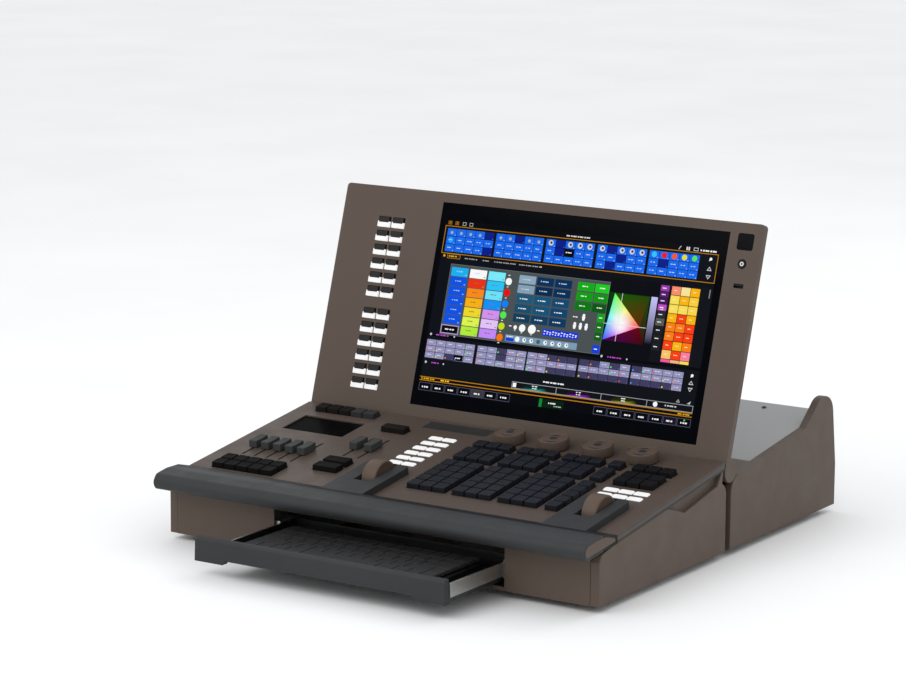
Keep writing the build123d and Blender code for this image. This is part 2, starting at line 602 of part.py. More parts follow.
with BuildPart() as small_display:
    with BuildSketch(panel_plane.offset(-4)):
        with Locations(SCREEN_RECESS[:2]):
            Rectangle(SCREEN_RECESS[2] - 0.6, SCREEN_RECESS[3] - 0.6)
    extrude(amount=2.2)
    with BuildSketch(panel_plane.offset(-4)):
        with Locations(SCREEN_RECESS[:2]):
            Rectangle(SCREEN_RECESS[2] + 6, SCREEN_RECESS[3] + 4)
    extrude(amount=-5)
save(small_display, "small_display")

with BuildPart() as name_plate:
    with BuildSketch(panel_plane.offset(-1)):
        with Locations(PLATE_RECESS[:2]):
            Rectangle(PLATE_RECESS[2] - 0.3, PLATE_RECESS[3] - 0.3)
    extrude(amount=1.1)
save(name_plate, "name_plate")

BOARD_H, BOARD_T = -9, 1.6
with BuildPart() as control_boards:
    with BuildSketch(panel_plane.offset(BOARD_H)):
        with Locations((85, -141)):
            Rectangle(246, 178)
        with Locations((WHEEL_X[1] - 6, -96)):
            Rectangle(88, 92)
        with Locations((WHEEL_X[0], -105)):
            Rectangle(56, 118)
        with Locations((FADER_X, -22), (FADER_X, -238)):
            Rectangle(110, 36)
        with Locations((MASTER_X + 1, -196), (MASTER_X + 1, -57)):
            Rectangle(46, 48)
    extrude(amount=-BOARD_T)
save(control_boards, "control_boards")

# ---------------------------------------------------------------- inside the body
with BuildPart() as main_board:
    box((-40, 250), (110, 262), (PAN_BOTTOM + 10, PAN_BOTTOM + 11.6))
    box((40, 76), (150, 186), (PAN_BOTTOM + 11.6, PAN_BOTTOM + 32))
    for x in (110, 122, 134, 146):
        box((x, x + 5), (140, 230), (PAN_BOTTOM + 11.6, PAN_BOTTOM + 40))
    with BuildSketch(level(PAN_BOTTOM + SHEET)):
        with Locations((105, 186)):
            with GridLocations(270, 132, 2, 2):
                Circle(3)
    extrude(amount=10 - SHEET)
save(main_board, "main_board")

with BuildPart() as power_supply:
    box((-290, -180), (110, 250), (PAN_BOTTOM + SHEET, PAN_BOTTOM + 42))
    fillet(power_supply.edges().filter_by(Axis.Z), 2)
save(power_supply, "power_supply")

FAN_SIZE, FAN_X, FAN_Z = 50, -120, -70
with BuildPart() as cooling_fan:
    with BuildSketch(upright(BODY_BACK - SHEET)):
        with Locations((FAN_X, FAN_Z)):
            RectangleRounded(FAN_SIZE, FAN_SIZE, 4)
            Circle(FAN_SIZE / 2 - 2, mode=Mode.SUBTRACT)
    extrude(amount=15)
    with BuildSketch(upright(BODY_BACK - SHEET - 3)):
        with Locations((FAN_X, FAN_Z)):
            Circle(10)
            with PolarLocations(0, 4):
                with Locations((FAN_SIZE / 4, 0)):
                    Rectangle(FAN_SIZE / 2, 2)
    extrude(amount=10)
save(cooling_fan, "cooling_fan")

# ---------------------------------------------------------------- keyboard drawer
with BuildPart() as drawer_front:
    with BuildSketch(upright(DRAWER_FRONT)):
        with BuildLine():
            Polyline((DRAWER_X[0], DRAWER_Z[0]), (-139, DRAWER_Z[0]), (-134, DRAWER_Z[0] + 6),
                     (130, DRAWER_Z[0] + 6), (135, DRAWER_Z[0]), (DRAWER_X[1], DRAWER_Z[0]),
                     (DRAWER_X[1] - 1, DRAWER_Z[1]), (DRAWER_X[0] + 1, DRAWER_Z[1]), close=True)
        make_face()
    extrude(amount=-10)
    chamfer(drawer_front.edges().filter_by(Axis.X).group_by(Axis.Z)[-1].sort_by(Axis.Y)[0], length=3)
save(drawer_front, "drawer_front")

with BuildPart() as drawer_tray:
    box(TRAY_X, TRAY_Y, (TRAY_BOTTOM, TRAY_BOTTOM + 1.5))
    for low, high in ((TRAY_X[0], TRAY_X[0] + 1.5), (TRAY_X[1] - 1.5, TRAY_X[1])):
        box((low, high), TRAY_Y, (TRAY_BOTTOM + 1.5, RAIL_Z[1]))
    box((TRAY_X[0] + 1.5, TRAY_X[1] - 1.5), (TRAY_Y[1] - 1.5, TRAY_Y[1]), (TRAY_BOTTOM + 1.5, RAIL_Z[1]))
save(drawer_tray, "drawer_tray")

# Runners: a flat bar on each side of the tray slides in a C-channel on the bay's wall.
with BuildPart() as drawer_rails:
    for x in (TRAY_X[0] - RAIL_T, TRAY_X[1]):
        box((x, x + RAIL_T), (TRAY_Y[0], RAIL_BACK), RAIL_Z)
save(drawer_rails, "drawer_rails")

KEYBOARD_X, KEYBOARD_Y = (-126, 152), (-407, -297)
KEYBOARD_BOTTOM, KEYBOARD_DECK, CAP_BOTTOM, CAP_TOP = -101.5, -85, -83, -78.5
SMALL_PITCH, SMALL_CAP = 19.3, 18.1
KEY_ROWS = 5
with BuildPart() as keyboard_base:
    box(KEYBOARD_X, KEYBOARD_Y, (KEYBOARD_BOTTOM, KEYBOARD_DECK))
    fillet(keyboard_base.edges().filter_by(Axis.Z), 3)
save(keyboard_base, "keyboard_base")

keyboard_middle = (sum(KEYBOARD_X) / 2, sum(KEYBOARD_Y) / 2)
row_y = [keyboard_middle[1] + 36.5 - 19 * row for row in range(KEY_ROWS)]


def cap_row(y, widths, depth):
    """One row of keyboard caps, given by their widths in key pitches, in the current sketch."""
    x = keyboard_middle[0] - sum(widths) * SMALL_PITCH / 2
    for width in widths:
        with Locations((x + width * SMALL_PITCH / 2, y)):
            RectangleRounded(width * SMALL_PITCH - SMALL_PITCH + SMALL_CAP, depth, 1.2)
        x += width * SMALL_PITCH


with BuildPart() as keyboard_keys:
    with BuildSketch(level(CAP_BOTTOM)):
        cap_row(row_y[0] + 13.6, [1] * 14, 7)
        cap_row(row_y[0], [1] * 14, SMALL_CAP)
        cap_row(row_y[1], [1.5] + [1] * 11 + [1.5], SMALL_CAP)
        cap_row(row_y[2], [1.75] + [1] * 10 + [2.25], SMALL_CAP)
        cap_row(row_y[3], [2.25] + [1] * 9 + [1.75, 1], SMALL_CAP)
        cap_row(row_y[4], [1, 1, 1, 1.25, 5.5, 1.25, 1, 1, 1], SMALL_CAP)
    extrude(amount=CAP_TOP - CAP_BOTTOM, taper=3)
save(keyboard_keys, "keyboard_keys")

# ---------------------------------------------------------------- display unit
HINGE_TUBE_R, HINGE_HOLLOW_R = PIVOT_DEPTH, PIVOT_DEPTH - 2.5
FRAME_WALL = 3
glass_size = (GLASS[1] - GLASS[0], GLASS[3] - GLASS[2])
glass_centre = ((GLASS[0] + GLASS[1]) / 2, (GLASS[2] + GLASS[3]) / 2)
frame_height = DISPLAY_TOP - PIVOT_V
with BuildPart() as display_frame:
    with BuildSketch(display_plane):
        with Locations((0, (DISPLAY_TOP + PIVOT_V) / 2)):
            Rectangle(WIDTH, frame_height)
    extrude(amount=-LIP_DEPTH)
    fillet(display_frame.edges().filter_by(Axis((0, 0, 0), display_plane.z_dir))
           .sort_by(Axis.Z)[-2:], 5)
    with BuildSketch(display_plane.offset(-LIP_DEPTH)):
        with Locations((0, (DISPLAY_TOP - FRAME_WALL + 10) / 2)):
            Rectangle(WIDTH - 2 * FRAME_WALL, DISPLAY_TOP - FRAME_WALL - 10)
    extrude(amount=LIP_DEPTH - FRAME_WALL, mode=Mode.SUBTRACT)
    with BuildSketch(display_plane):
        with Locations(glass_centre):
            Rectangle(glass_size[0] + 0.6, glass_size[1] + 0.6)
    extrude(amount=-FRAME_WALL, mode=Mode.SUBTRACT)
    with BuildSketch(display_plane):
        for block in display_blocks:
            key_outlines(block, 0.3)
        with Locations((RIGHT_STRIP_X, POWER_V)):
            Circle(POWER_R + 0.4)
        with Locations((RIGHT_STRIP_X, PORT_V)):
            Rectangle(13.4, 5.4)
        with Locations((RIGHT_STRIP_X, WINDOW_V)):
            RectangleRounded(22.2, 20.8, 3.1)
    extrude(amount=-FRAME_WALL, mode=Mode.SUBTRACT)
    with BuildSketch(section(-HALF + 4)):
        with Locations(pivot):
            Circle(HINGE_HOLLOW_R)
    extrude(amount=WIDTH - 8, mode=Mode.SUBTRACT)
    with BuildSketch(section(-HALF)):
        with BuildLine():
            start, end = radians(90 + DISPLAY_ANGLE), radians(305)
            for radius in (HINGE_TUBE_R, HINGE_HOLLOW_R):
                CenterArc(pivot, radius, 90 + DISPLAY_ANGLE, 305 - 90 - DISPLAY_ANGLE)
            for angle in (start, end):
                Line(*[(pivot[0] + r * cos(angle), pivot[1] + r * sin(angle))
                       for r in (HINGE_TUBE_R, HINGE_HOLLOW_R)])
        make_face()
    extrude(amount=WIDTH)
    for side in (-1, 1):
        with BuildSketch(section(side * HALF)):
            with Locations(pivot):
                Circle(HINGE_TUBE_R)
        extrude(amount=-side * 4)
save(display_frame, "display_frame")

with BuildPart() as display_glass:
    with BuildSketch(display_plane):
        with Locations(glass_centre):
            Rectangle(*glass_size)
    extrude(amount=-2.5)
save(display_glass, "display_glass")

with BuildPart() as display_module:
    with BuildSketch(display_plane.offset(-2.5)):
        with Locations(glass_centre):
            Rectangle(ACTIVE[0] + 6, ACTIVE[1] + 24)
    extrude(amount=-5.2)
    with BuildSketch(display_plane.offset(-7.7)):
        with Locations((0, 175)):
            Rectangle(360, 110)
    extrude(amount=-10)
save(display_module, "display_module")

BULGE = (584, 84, 272)          # width, bottom and top of the rear housing
SHELL_T = 2
bulge_middle = (0, (BULGE[1] + BULGE[2]) / 2)
with BuildPart() as display_rear_shell:
    with BuildSketch(display_plane.offset(-LIP_DEPTH)):
        with Locations((0, (DISPLAY_TOP - FRAME_WALL + 10) / 2)):
            Rectangle(WIDTH - 2 * FRAME_WALL - 0.4, DISPLAY_TOP - FRAME_WALL - 10 - 0.4)
    extrude(amount=SHELL_T)
    with BuildSketch(display_plane.offset(-LIP_DEPTH)):
        with Locations(bulge_middle):
            RectangleRounded(BULGE[0], BULGE[2] - BULGE[1], 14)
    extrude(amount=-BULGE_DEPTH, taper=24)
    with BuildSketch(display_plane.offset(-LIP_DEPTH + SHELL_T)):
        with Locations(bulge_middle):
            RectangleRounded(BULGE[0] - 2 * SHELL_T, BULGE[2] - BULGE[1] - 2 * SHELL_T, 12)
    extrude(amount=-BULGE_DEPTH, taper=24, mode=Mode.SUBTRACT)
    with BuildSketch(display_plane.offset(-LIP_DEPTH - BULGE_DEPTH)):
        with Locations((-150, bulge_middle[1] + 40), (150, bulge_middle[1] + 40)):
            with GridLocations(8, 0, 16, 1):
                SlotOverall(36, 3.6, rotation=90)
    extrude(amount=SHELL_T + 1, mode=Mode.SUBTRACT)
save(display_rear_shell, "display_rear_shell")

with BuildPart() as display_keys:
    keys(display_blocks, display_plane, 3, taper=14)
save(display_keys, "display_keys")

with BuildPart() as power_button:
    with BuildSketch(display_plane.offset(-5)):
        with Locations((RIGHT_STRIP_X, POWER_V)):
            Circle(POWER_R)
    extrude(amount=5.9)
    chamfer(power_button.edges().sort_by(Axis((0, 0, 0), display_plane.z_dir))[-1], length=0.6)
save(power_button, "power_button")

with BuildPart() as status_window:
    with BuildSketch(display_plane.offset(0.1)):
        with Locations((RIGHT_STRIP_X, WINDOW_V)):
            RectangleRounded(22, 20.6, 3)
    extrude(amount=-4)
save(status_window, "status_window")

with BuildPart() as usb_port:
    with BuildSketch(display_plane):
        with Locations((RIGHT_STRIP_X, PORT_V)):
            Rectangle(13.2, 5.2)
            Rectangle(12.2, 4.2, mode=Mode.SUBTRACT)
    extrude(amount=-7)
    with BuildSketch(display_plane.offset(-1)):
        with Locations((RIGHT_STRIP_X, PORT_V + 1)):
            Rectangle(11, 1.6)
    extrude(amount=-6)
    with BuildSketch(display_plane.offset(-6)):
        with Locations((RIGHT_STRIP_X, PORT_V)):
            Rectangle(13.2, 5.2)
    extrude(amount=-1.5)
save(usb_port, "usb_port")

# ---------------------------------------------------------------- display hinges
PIN_R, KNUCKLE_R, KNUCKLE_W, EAR_W = 4, 8, 14, 7
with BuildPart() as hinge_arms:
    for x in HINGE_X:
        with BuildSketch(section(x - KNUCKLE_W / 2)):
            with Locations(pivot):
                Circle(KNUCKLE_R)
        extrude(amount=KNUCKLE_W)
        with BuildSketch(display_plane.offset(-LIP_DEPTH)):
            with Locations((x, (PIVOT_V + 40) / 2)):
                Rectangle(KNUCKLE_W, 40 - PIVOT_V)
            with Locations((x, 46)):
                Rectangle(44, 60 - 16)
        extrude(amount=-3)
        with BuildSketch(section(x - KNUCKLE_W / 2)):
            with Locations(pivot):
                Circle(PIN_R + RUNNING)
        extrude(amount=KNUCKLE_W, mode=Mode.SUBTRACT)
save(hinge_arms, "hinge_arms")

with BuildPart() as hinge_brackets:
    for x in HINGE_X:
        for side in (-1, 1):
            with BuildSketch(section(x + side * (KNUCKLE_W / 2 + 0.3))):
                with BuildLine():
                    Polyline(pivot, (pivot[0] + 2, pivot[1] + 7.5), (46, -18.8), (46, -23.1),
                             (40, -23.9), (pivot[0] + 2, pivot[1] - 7.5), close=True)
                make_face()
                with Locations(pivot):
                    Circle(KNUCKLE_R)
                    Circle(PIN_R, mode=Mode.SUBTRACT)
            extrude(amount=side * EAR_W)
        with BuildSketch(section(x - KNUCKLE_W / 2 - EAR_W - 0.3)):
            with BuildLine():
                Polyline((41, -23.85), (76, -18.9), (76, -15.9), (41, -20.85), close=True)
            make_face()
        extrude(amount=KNUCKLE_W + 2 * EAR_W + 0.6)
save(hinge_brackets, "hinge_brackets")

with BuildPart() as hinge_pins:
    for x in HINGE_X:
        with BuildSketch(section(x - KNUCKLE_W / 2 - EAR_W - 0.3)):
            with Locations(pivot):
                Circle(PIN_R)
        extrude(amount=KNUCKLE_W + 2 * EAR_W + 0.6)
save(hinge_pins, "hinge_pins")

# Pan-head screws: rear deck, rear panel and hinge leaves are held the same way.
deck_plane = Plane(origin=(0, PANEL_BACK_Y + DECK_FRONT, PANEL_BACK_Z + deck_front_z),
                   x_dir=(1, 0, 0), z_dir=(0, -SLOPE_SIN, SLOPE_COS))
with BuildPart() as case_screws:
    with BuildSketch(deck_plane):
        with Locations((0, 100)):
            with GridLocations(220, 170, 3, 2):
                Circle(3.2)
    extrude(amount=1.6)
    with BuildSketch(upright(BODY_BACK)):
        with Locations((0, PAN_BOTTOM + 10)):
            with GridLocations(184, 0, 4, 1):
                Circle(3.2)
    extrude(amount=-1.6)
save(case_screws, "case_screws")

print(len(os.listdir("parts")), "files;", "hinge axis at y, z =",
      [round(pivot[0] + PANEL_BACK_Y, 3), round(pivot[1] + PANEL_BACK_Z, 3)])
print("wheel axis at y, z =",
      [round(wheel_centre[0] + PANEL_BACK_Y, 3), round(wheel_centre[1] + PANEL_BACK_Z, 3)])
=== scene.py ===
"""Looks of the lighting control desk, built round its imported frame.

Metres, +Z up, -Y towards the operator. Controls are placed from the frame's own solids.
A working plane turns (across, up the slope, out), in millimetres, into the desk's frame:
one lies on the control panel and one on the display's glass, from its top left corner.
"""
import json
from math import cos, exp, hypot, pi, radians, sin

import bmesh
import bpy
from mathutils import Matrix, Vector


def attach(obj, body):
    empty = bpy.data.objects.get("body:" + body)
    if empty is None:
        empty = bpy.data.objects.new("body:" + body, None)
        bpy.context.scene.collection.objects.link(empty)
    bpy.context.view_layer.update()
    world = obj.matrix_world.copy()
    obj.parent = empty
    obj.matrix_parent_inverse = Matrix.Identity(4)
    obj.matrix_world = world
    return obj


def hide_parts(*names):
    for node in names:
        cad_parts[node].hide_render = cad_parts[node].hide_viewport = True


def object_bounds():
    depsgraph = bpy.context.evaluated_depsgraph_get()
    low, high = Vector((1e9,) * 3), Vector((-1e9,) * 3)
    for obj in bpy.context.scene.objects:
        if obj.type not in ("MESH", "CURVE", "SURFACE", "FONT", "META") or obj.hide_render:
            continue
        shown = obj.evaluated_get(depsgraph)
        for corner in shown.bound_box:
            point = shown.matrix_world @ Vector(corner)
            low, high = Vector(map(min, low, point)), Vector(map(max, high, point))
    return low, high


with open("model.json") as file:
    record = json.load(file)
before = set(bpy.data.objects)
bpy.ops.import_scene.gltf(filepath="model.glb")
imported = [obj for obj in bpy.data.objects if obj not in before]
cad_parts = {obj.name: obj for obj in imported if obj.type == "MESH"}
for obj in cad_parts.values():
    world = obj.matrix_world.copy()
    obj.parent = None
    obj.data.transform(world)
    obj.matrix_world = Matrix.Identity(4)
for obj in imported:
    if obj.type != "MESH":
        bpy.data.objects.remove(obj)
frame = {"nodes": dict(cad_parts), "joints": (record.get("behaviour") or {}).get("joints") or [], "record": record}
cad_low, cad_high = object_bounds()
joints = {joint["name"]: joint for joint in frame["joints"]}
bodies = frame["record"]["behaviour"]["bodies"]
body_of = {node: body for body, nodes in bodies.items() for node in nodes}
MM = 0.001


# ---- working planes
def working_plane(point, normal):
    """Matrix from millimetres on a plane that leans about X, to the desk's frame."""
    normal = Vector(normal).normalized()
    across = Vector((1, 0, 0))
    matrix = Matrix((across, normal.cross(across), normal)).transposed().to_4x4() @ Matrix.Scale(MM, 4)
    matrix.translation = point
    return matrix


encoder_joint = joints["encoder_1_turn"]
panel_normal = Vector(encoder_joint["axis"])
panel = working_plane((0, *encoder_joint["pos_m"][1:]), panel_normal)
screen_normal = -Vector(joints["display_key_press"]["axis"])
glass_points = [vertex.co for vertex in frame["nodes"]["display_glass"].data.vertices]
glass_face = max(point.dot(screen_normal) for point in glass_points)
screen_corner = max((point for point in glass_points if point.dot(screen_normal) > glass_face - 1e-5),
                    key=lambda point: point.z - point.x)
screen = working_plane(screen_corner, screen_normal)
level = working_plane((0, 0, 0), (0, 0, 1))


def solids(node, plane):
    """Boxes of a node's separate solids in a plane's coordinates, back row first, left to right."""
    mesh = bmesh.new()
    mesh.from_mesh(frame["nodes"][node].data)
    bmesh.ops.remove_doubles(mesh, verts=mesh.verts, dist=1e-6)
    to_plane = plane.inverted()
    waiting = set(mesh.verts)
    boxes = []
    while waiting:
        stack = [waiting.pop()]
        points = []
        while stack:
            vertex = stack.pop()
            points.append(to_plane @ vertex.co)
            for edge in vertex.link_edges:
                other = edge.other_vert(vertex)
                if other in waiting:
                    waiting.remove(other)
                    stack.append(other)
        boxes.append((Vector([min(axis) for axis in zip(*points)]),
                      Vector([max(axis) for axis in zip(*points)])))
    mesh.free()
    return sorted(boxes, key=lambda box: (-round(box[0].y), round(box[0].x), round(box[0].z)))


# ---- mesh building
class Build:
    """Points and faces of one piece, each face with the number of its material."""

    def __init__(self):
        self.points = []
        self.faces = []
        self.slots = []

    def loft(self, rings, slot=0):
        """Skin through rings of equal length, closed at both ends."""
        size = len(rings[0])
        first = len(self.points)
        last = first + size * (len(rings) - 1)
        faces = [list(reversed(range(first, first + size)))]
        for base in range(first, last, size):
            for i in range(size):
                j = (i + 1) % size
                faces.append([base + i, base + j, base + size + j, base + size + i])
        faces.append(list(range(last, last + size)))
        self.points += [Vector(point) for ring in rings for point in ring]
        self.faces += faces
        self.slots += [slot] * len(faces)

    def prism(self, outline, low, high, slot=0):
        """Outline of (y, z) points pushed along x from low to high."""
        self.loft([[(x, y, z) for y, z in outline] for x in (low, high)], slot)

    def slab(self, outline, low, high, slot=0):
        """Outline of (x, y) points pushed along z from low to high."""
        self.loft([[(x, y, z) for x, y in outline] for z in (low, high)], slot)

    def piece(self, name, plane, materials, node, bevel=0, sharp=38, replaces=True):
        """The finished piece, which rides with a CAD node and stands for it unless told otherwise."""
        mesh = bpy.data.meshes.new(name)
        mesh.from_pydata([plane @ point for point in self.points], [], self.faces)
        mesh.polygons.foreach_set("material_index", self.slots)
        for material in materials:
            mesh.materials.append(material)
        return settle(bpy.data.objects.new(name, mesh), node, bevel, sharp, replaces)


def show(thing):
    """Puts an object in the scene."""
    bpy.context.scene.collection.objects.link(thing)
    return thing


def settle(piece, node, bevel, sharp=38, replaces=True):
    """Shades a piece, rounds its edges by bevel millimetres and lets it ride with its node."""
    tidy = bmesh.new()
    tidy.from_mesh(piece.data)
    bmesh.ops.recalc_face_normals(tidy, faces=tidy.faces)
    tidy.to_mesh(piece.data)
    tidy.free()
    piece.data.polygons.foreach_set("use_smooth", [True] * len(piece.data.polygons))
    piece.data.set_sharp_from_angle(angle=radians(sharp))
    show(piece)
    if bevel:
        rounding = piece.modifiers.new("rounded_edges", "BEVEL")
        rounding.width = bevel * MM
        rounding.segments = 3
        rounding.limit_method = "ANGLE"
        rounding.angle_limit = radians(32)
        flat = piece.modifiers.new("flat_faces", "WEIGHTED_NORMAL")
        flat.keep_sharp = True
        flat.weight = 100
    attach(piece, body_of[node])
    if replaces:
        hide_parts(node)
    return piece


def soften(node, bevel, material):
    """The CAD node's own shape with its edges rounded, which stands for the node."""
    mesh = frame["nodes"][node].data.copy()
    mesh.name = node + "_mesh"
    clean = bmesh.new()
    clean.from_mesh(mesh)
    bmesh.ops.remove_doubles(clean, verts=clean.verts, dist=2e-6)
    bmesh.ops.dissolve_limit(clean, angle_limit=radians(0.6), verts=clean.verts, edges=clean.edges)
    clean.to_mesh(mesh)
    clean.free()
    mesh.materials.clear()
    mesh.materials.append(material)
    settle(bpy.data.objects.new(node + "_rounded", mesh), node, bevel)


def dress(material, *nodes):
    """Gives a CAD node that stays as it is its material."""
    for node in nodes:
        piece = frame["nodes"][node]
        piece.data.materials.clear()
        piece.data.materials.append(material)


def rounded(width, depth, radius, middle=(0, 0), steps=4):
    """Outline of a rectangle with rounded corners."""
    points = []
    for corner, (side_x, side_y) in enumerate(((1, 1), (-1, 1), (-1, -1), (1, -1))):
        for step in range(steps + 1):
            angle = (corner + step / steps) * pi / 2
            points.append((middle[0] + side_x * (width / 2 - radius) + radius * cos(angle),
                           middle[1] + side_y * (depth / 2 - radius) + radius * sin(angle)))
    return points


def round_angles(steps):
    """Angles of equal steps round a full turn."""
    return [2 * pi * i / steps for i in range(steps)]


def lathe(build, profile, steps, middle=(0, 0), slot=0, relief=None):
    """Turned shape about Z through (radius, height) points; relief(radius, angle) lowers a point."""
    build.loft([[(middle[0] + radius * cos(angle), middle[1] + radius * sin(angle),
                  height - (relief(radius, angle) if relief else 0)) for angle in round_angles(steps)]
                for radius, height in profile], slot)


# ---- materials
def linear(colour):
    """Hex colour as the linear values that shaders use."""
    parts = [int(colour[i:i + 2], 16) / 255 for i in (1, 3, 5)]
    return [part / 12.92 if part <= 0.04045 else ((part + 0.055) / 1.055) ** 2.4 for part in parts] + [1]


def shaded(colour, factor):
    """Linear colour made darker or lighter."""
    return [part * factor for part in colour[:3]] + [1]


class Shader:
    """A material's node tree, with the few node groups that the desk's surfaces share."""

    def __init__(self, name, roughness=0.5, metallic=0.0, specular=0.5):
        self.material = bpy.data.materials.new(name)
        self.material.use_nodes = True
        self.nodes = self.material.node_tree.nodes
        self.links = self.material.node_tree.links
        self.surface = self.nodes["Principled BSDF"]
        sockets = {"Roughness": roughness, "Metallic": metallic, "Specular IOR Level": specular}
        for socket, value in sockets.items():
            self.surface.inputs[socket].default_value = value
        self.place = self.nodes.new("ShaderNodeTexCoord").outputs["Object"]

    def link(self, output, node_input):
        self.links.new(output, node_input)

    def along(self, axis):
        """The place in the desk along one axis."""
        split = self.nodes.new("ShaderNodeSeparateXYZ")
        self.link(self.place, split.inputs["Vector"])
        return split.outputs[axis]

    def stretched(self, scale, turn=(0, 0, 0)):
        """The place in the desk, squeezed along each axis, for streaks and brushing."""
        mapping = self.nodes.new("ShaderNodeMapping")
        mapping.inputs["Scale"].default_value = scale
        mapping.inputs["Rotation"].default_value = [radians(angle) for angle in turn]
        self.link(self.place, mapping.inputs["Vector"])
        return mapping.outputs["Vector"]

    def noise(self, scale, detail=3.0, place=None):
        node = self.nodes.new("ShaderNodeTexNoise")
        node.inputs["Scale"].default_value = scale
        node.inputs["Detail"].default_value = detail
        self.link(place or self.place, node.inputs["Vector"])
        return node.outputs["Fac"]

    def spread(self, value, low, high, start=0.3, end=0.7):
        node = self.nodes.new("ShaderNodeMapRange")
        for name, number in (("From Min", start), ("From Max", end), ("To Min", low), ("To Max", high)):
            node.inputs[name].default_value = number
        self.link(value, node.inputs["Value"])
        return node.outputs["Result"]

    def maths(self, kind, operation, *values):
        """A Math or VectorMath node on outputs or plain values."""
        node = self.nodes.new("ShaderNode" + kind)
        node.operation = operation
        for value, socket in zip(values, node.inputs):
            if isinstance(value, bpy.types.NodeSocket):
                self.link(value, socket)
            else:
                socket.default_value = value
        return node.outputs["Value"]

    def blend(self, factor, first, second):
        """Mix of two colours, or of a colour made so far and another."""
        node = self.nodes.new("ShaderNodeMix")
        node.data_type = "RGBA"
        self.link(factor, node.inputs["Factor"])
        for name, colour in (("A", first), ("B", second)):
            socket = next(item for item in node.inputs if item.name == name and item.type == "RGBA")
            if isinstance(colour, list):
                socket.default_value = colour
            else:
                self.link(colour, socket)
        return next(item for item in node.outputs if item.type == "RGBA")

    def edges(self, radius, flat=0.985, edge=0.9):
        """1 along sharp edges and 0 on flat faces, from how far a rounded normal turns."""
        bevel = self.nodes.new("ShaderNodeBevel")
        bevel.samples = 4
        bevel.inputs["Radius"].default_value = radius
        geometry = self.nodes.new("ShaderNodeNewGeometry")
        turned = self.maths("VectorMath", "DOT_PRODUCT", bevel.outputs["Normal"], geometry.outputs["Normal"])
        return self.spread(turned, 0, 1, flat, edge)

    def bump(self, height, depth):
        node = self.nodes.new("ShaderNodeBump")
        node.inputs["Strength"].default_value = 1
        node.inputs["Distance"].default_value = depth
        self.link(height, node.inputs["Height"])
        self.link(node.outputs["Normal"], self.surface.inputs["Normal"])

    def colour(self, output):
        self.link(output, self.surface.inputs["Base Color"])

    def rough(self, output):
        self.link(output, self.surface.inputs["Roughness"])


SHADE_FRONT = 33  # millimetres from the armrest's back edge to the front of the shade painted on its rear slope and top
SHADE_BLUR, SHEET_BLUR = 0.0003, 0.0001
SHEET_SIDE, SHEET_EDGE = 0.0004, (0.0004, 0.0029)  # the panel's grey edge: in from its side, below its top


def armrest_back_shade(shader):
    """1 on the armrest's rear slope and on a narrow strip of its top in front of it, where shade is painted."""
    front = (solids("armrest", level)[0][1].y - SHADE_FRONT) * MM
    return shader.spread(shader.along("Y"), 0, 1, front - SHADE_BLUR, front + SHADE_BLUR)


def sheet_edge(shader):
    """1 on the control panel's left and right edges, in a band just under its top face."""
    out = shader.maths("Math", "ABSOLUTE", shader.along("X"))
    height = shader.maths("VectorMath", "DOT_PRODUCT", shader.place, panel_normal)
    top = panel_normal.dot(panel.translation)
    at_side = shader.spread(out, 0, 1, cad_high.x - SHEET_SIDE, cad_high.x - SHEET_SIDE + SHEET_BLUR)
    below, above = [shader.spread(height, *ends, top - depth, top - depth + SHEET_BLUR)
                    for ends, depth in zip(((1, 0), (0, 1)), SHEET_EDGE)]
    return shader.maths("Math", "MULTIPLY", shader.maths("Math", "MULTIPLY", at_side, below), above)


BAND_COLOUR = "#3a3d40"
WORN_EDGE = 0.0009


def moulded(name, colour, roughness=0.45, mottle=0.1, grain=1400, grain_depth=0.00005, wear=0.0,
            wear_colour=None, specular=0.16, band=None, band_colour=BAND_COLOUR):
    """Painted or moulded surface: fine grain, slow colour drift and rubbed edges."""
    shader = Shader(name, roughness, specular=specular)
    base = linear(colour)
    drift = shader.spread(shader.noise(5, 2), 0, 1)
    output = shader.blend(drift, shaded(base, 1 - mottle), shaded(base, 1 + mottle))
    speckle = shader.spread(shader.noise(grain, 2), 0, 0.25, 0.45, 0.75)
    output = shader.blend(speckle, output, shaded(base, 1.35))
    if wear:
        rubbed = shader.maths("Math", "MULTIPLY", shader.edges(WORN_EDGE),
                              shader.spread(shader.noise(60, 5), 0.25 * wear, wear))
        output = shader.blend(rubbed, output, linear(wear_colour or colour))
    # band puts a second colour on a masked region: the panel's grey edge strip, or painted shade on the armrest's
    # back
    if band:
        output = shader.blend(band(shader), output, linear(band_colour))
    shader.colour(output)
    shader.rough(shader.spread(shader.noise(38, 4), roughness - 0.06, roughness + 0.08))
    shader.bump(shader.noise(grain, 2), grain_depth)
    return shader.material


def key_plastic(name, colour, worn, roughness=0.5, wear=0.4, specular=0.16):
    """Fine-grained plastic of the key caps."""
    return moulded(name, colour, roughness, 0.1, 1900, 0.00003, wear, worn, specular)


def brushed(name, colour, roughness=0.35, along=(4, 900, 900), metallic=1.0):
    """Brushed metal with its lines along X."""
    shader = Shader(name, roughness, metallic)
    lines = shader.noise(1.0, 4, shader.stretched(along))
    base = linear(colour)
    shader.colour(shader.blend(shader.spread(lines, 0, 1), shaded(base, 0.82), shaded(base, 1.12)))
    shader.rough(shader.spread(lines, roughness - 0.08, roughness + 0.12))
    shader.bump(lines, 0.00002)
    return shader.material


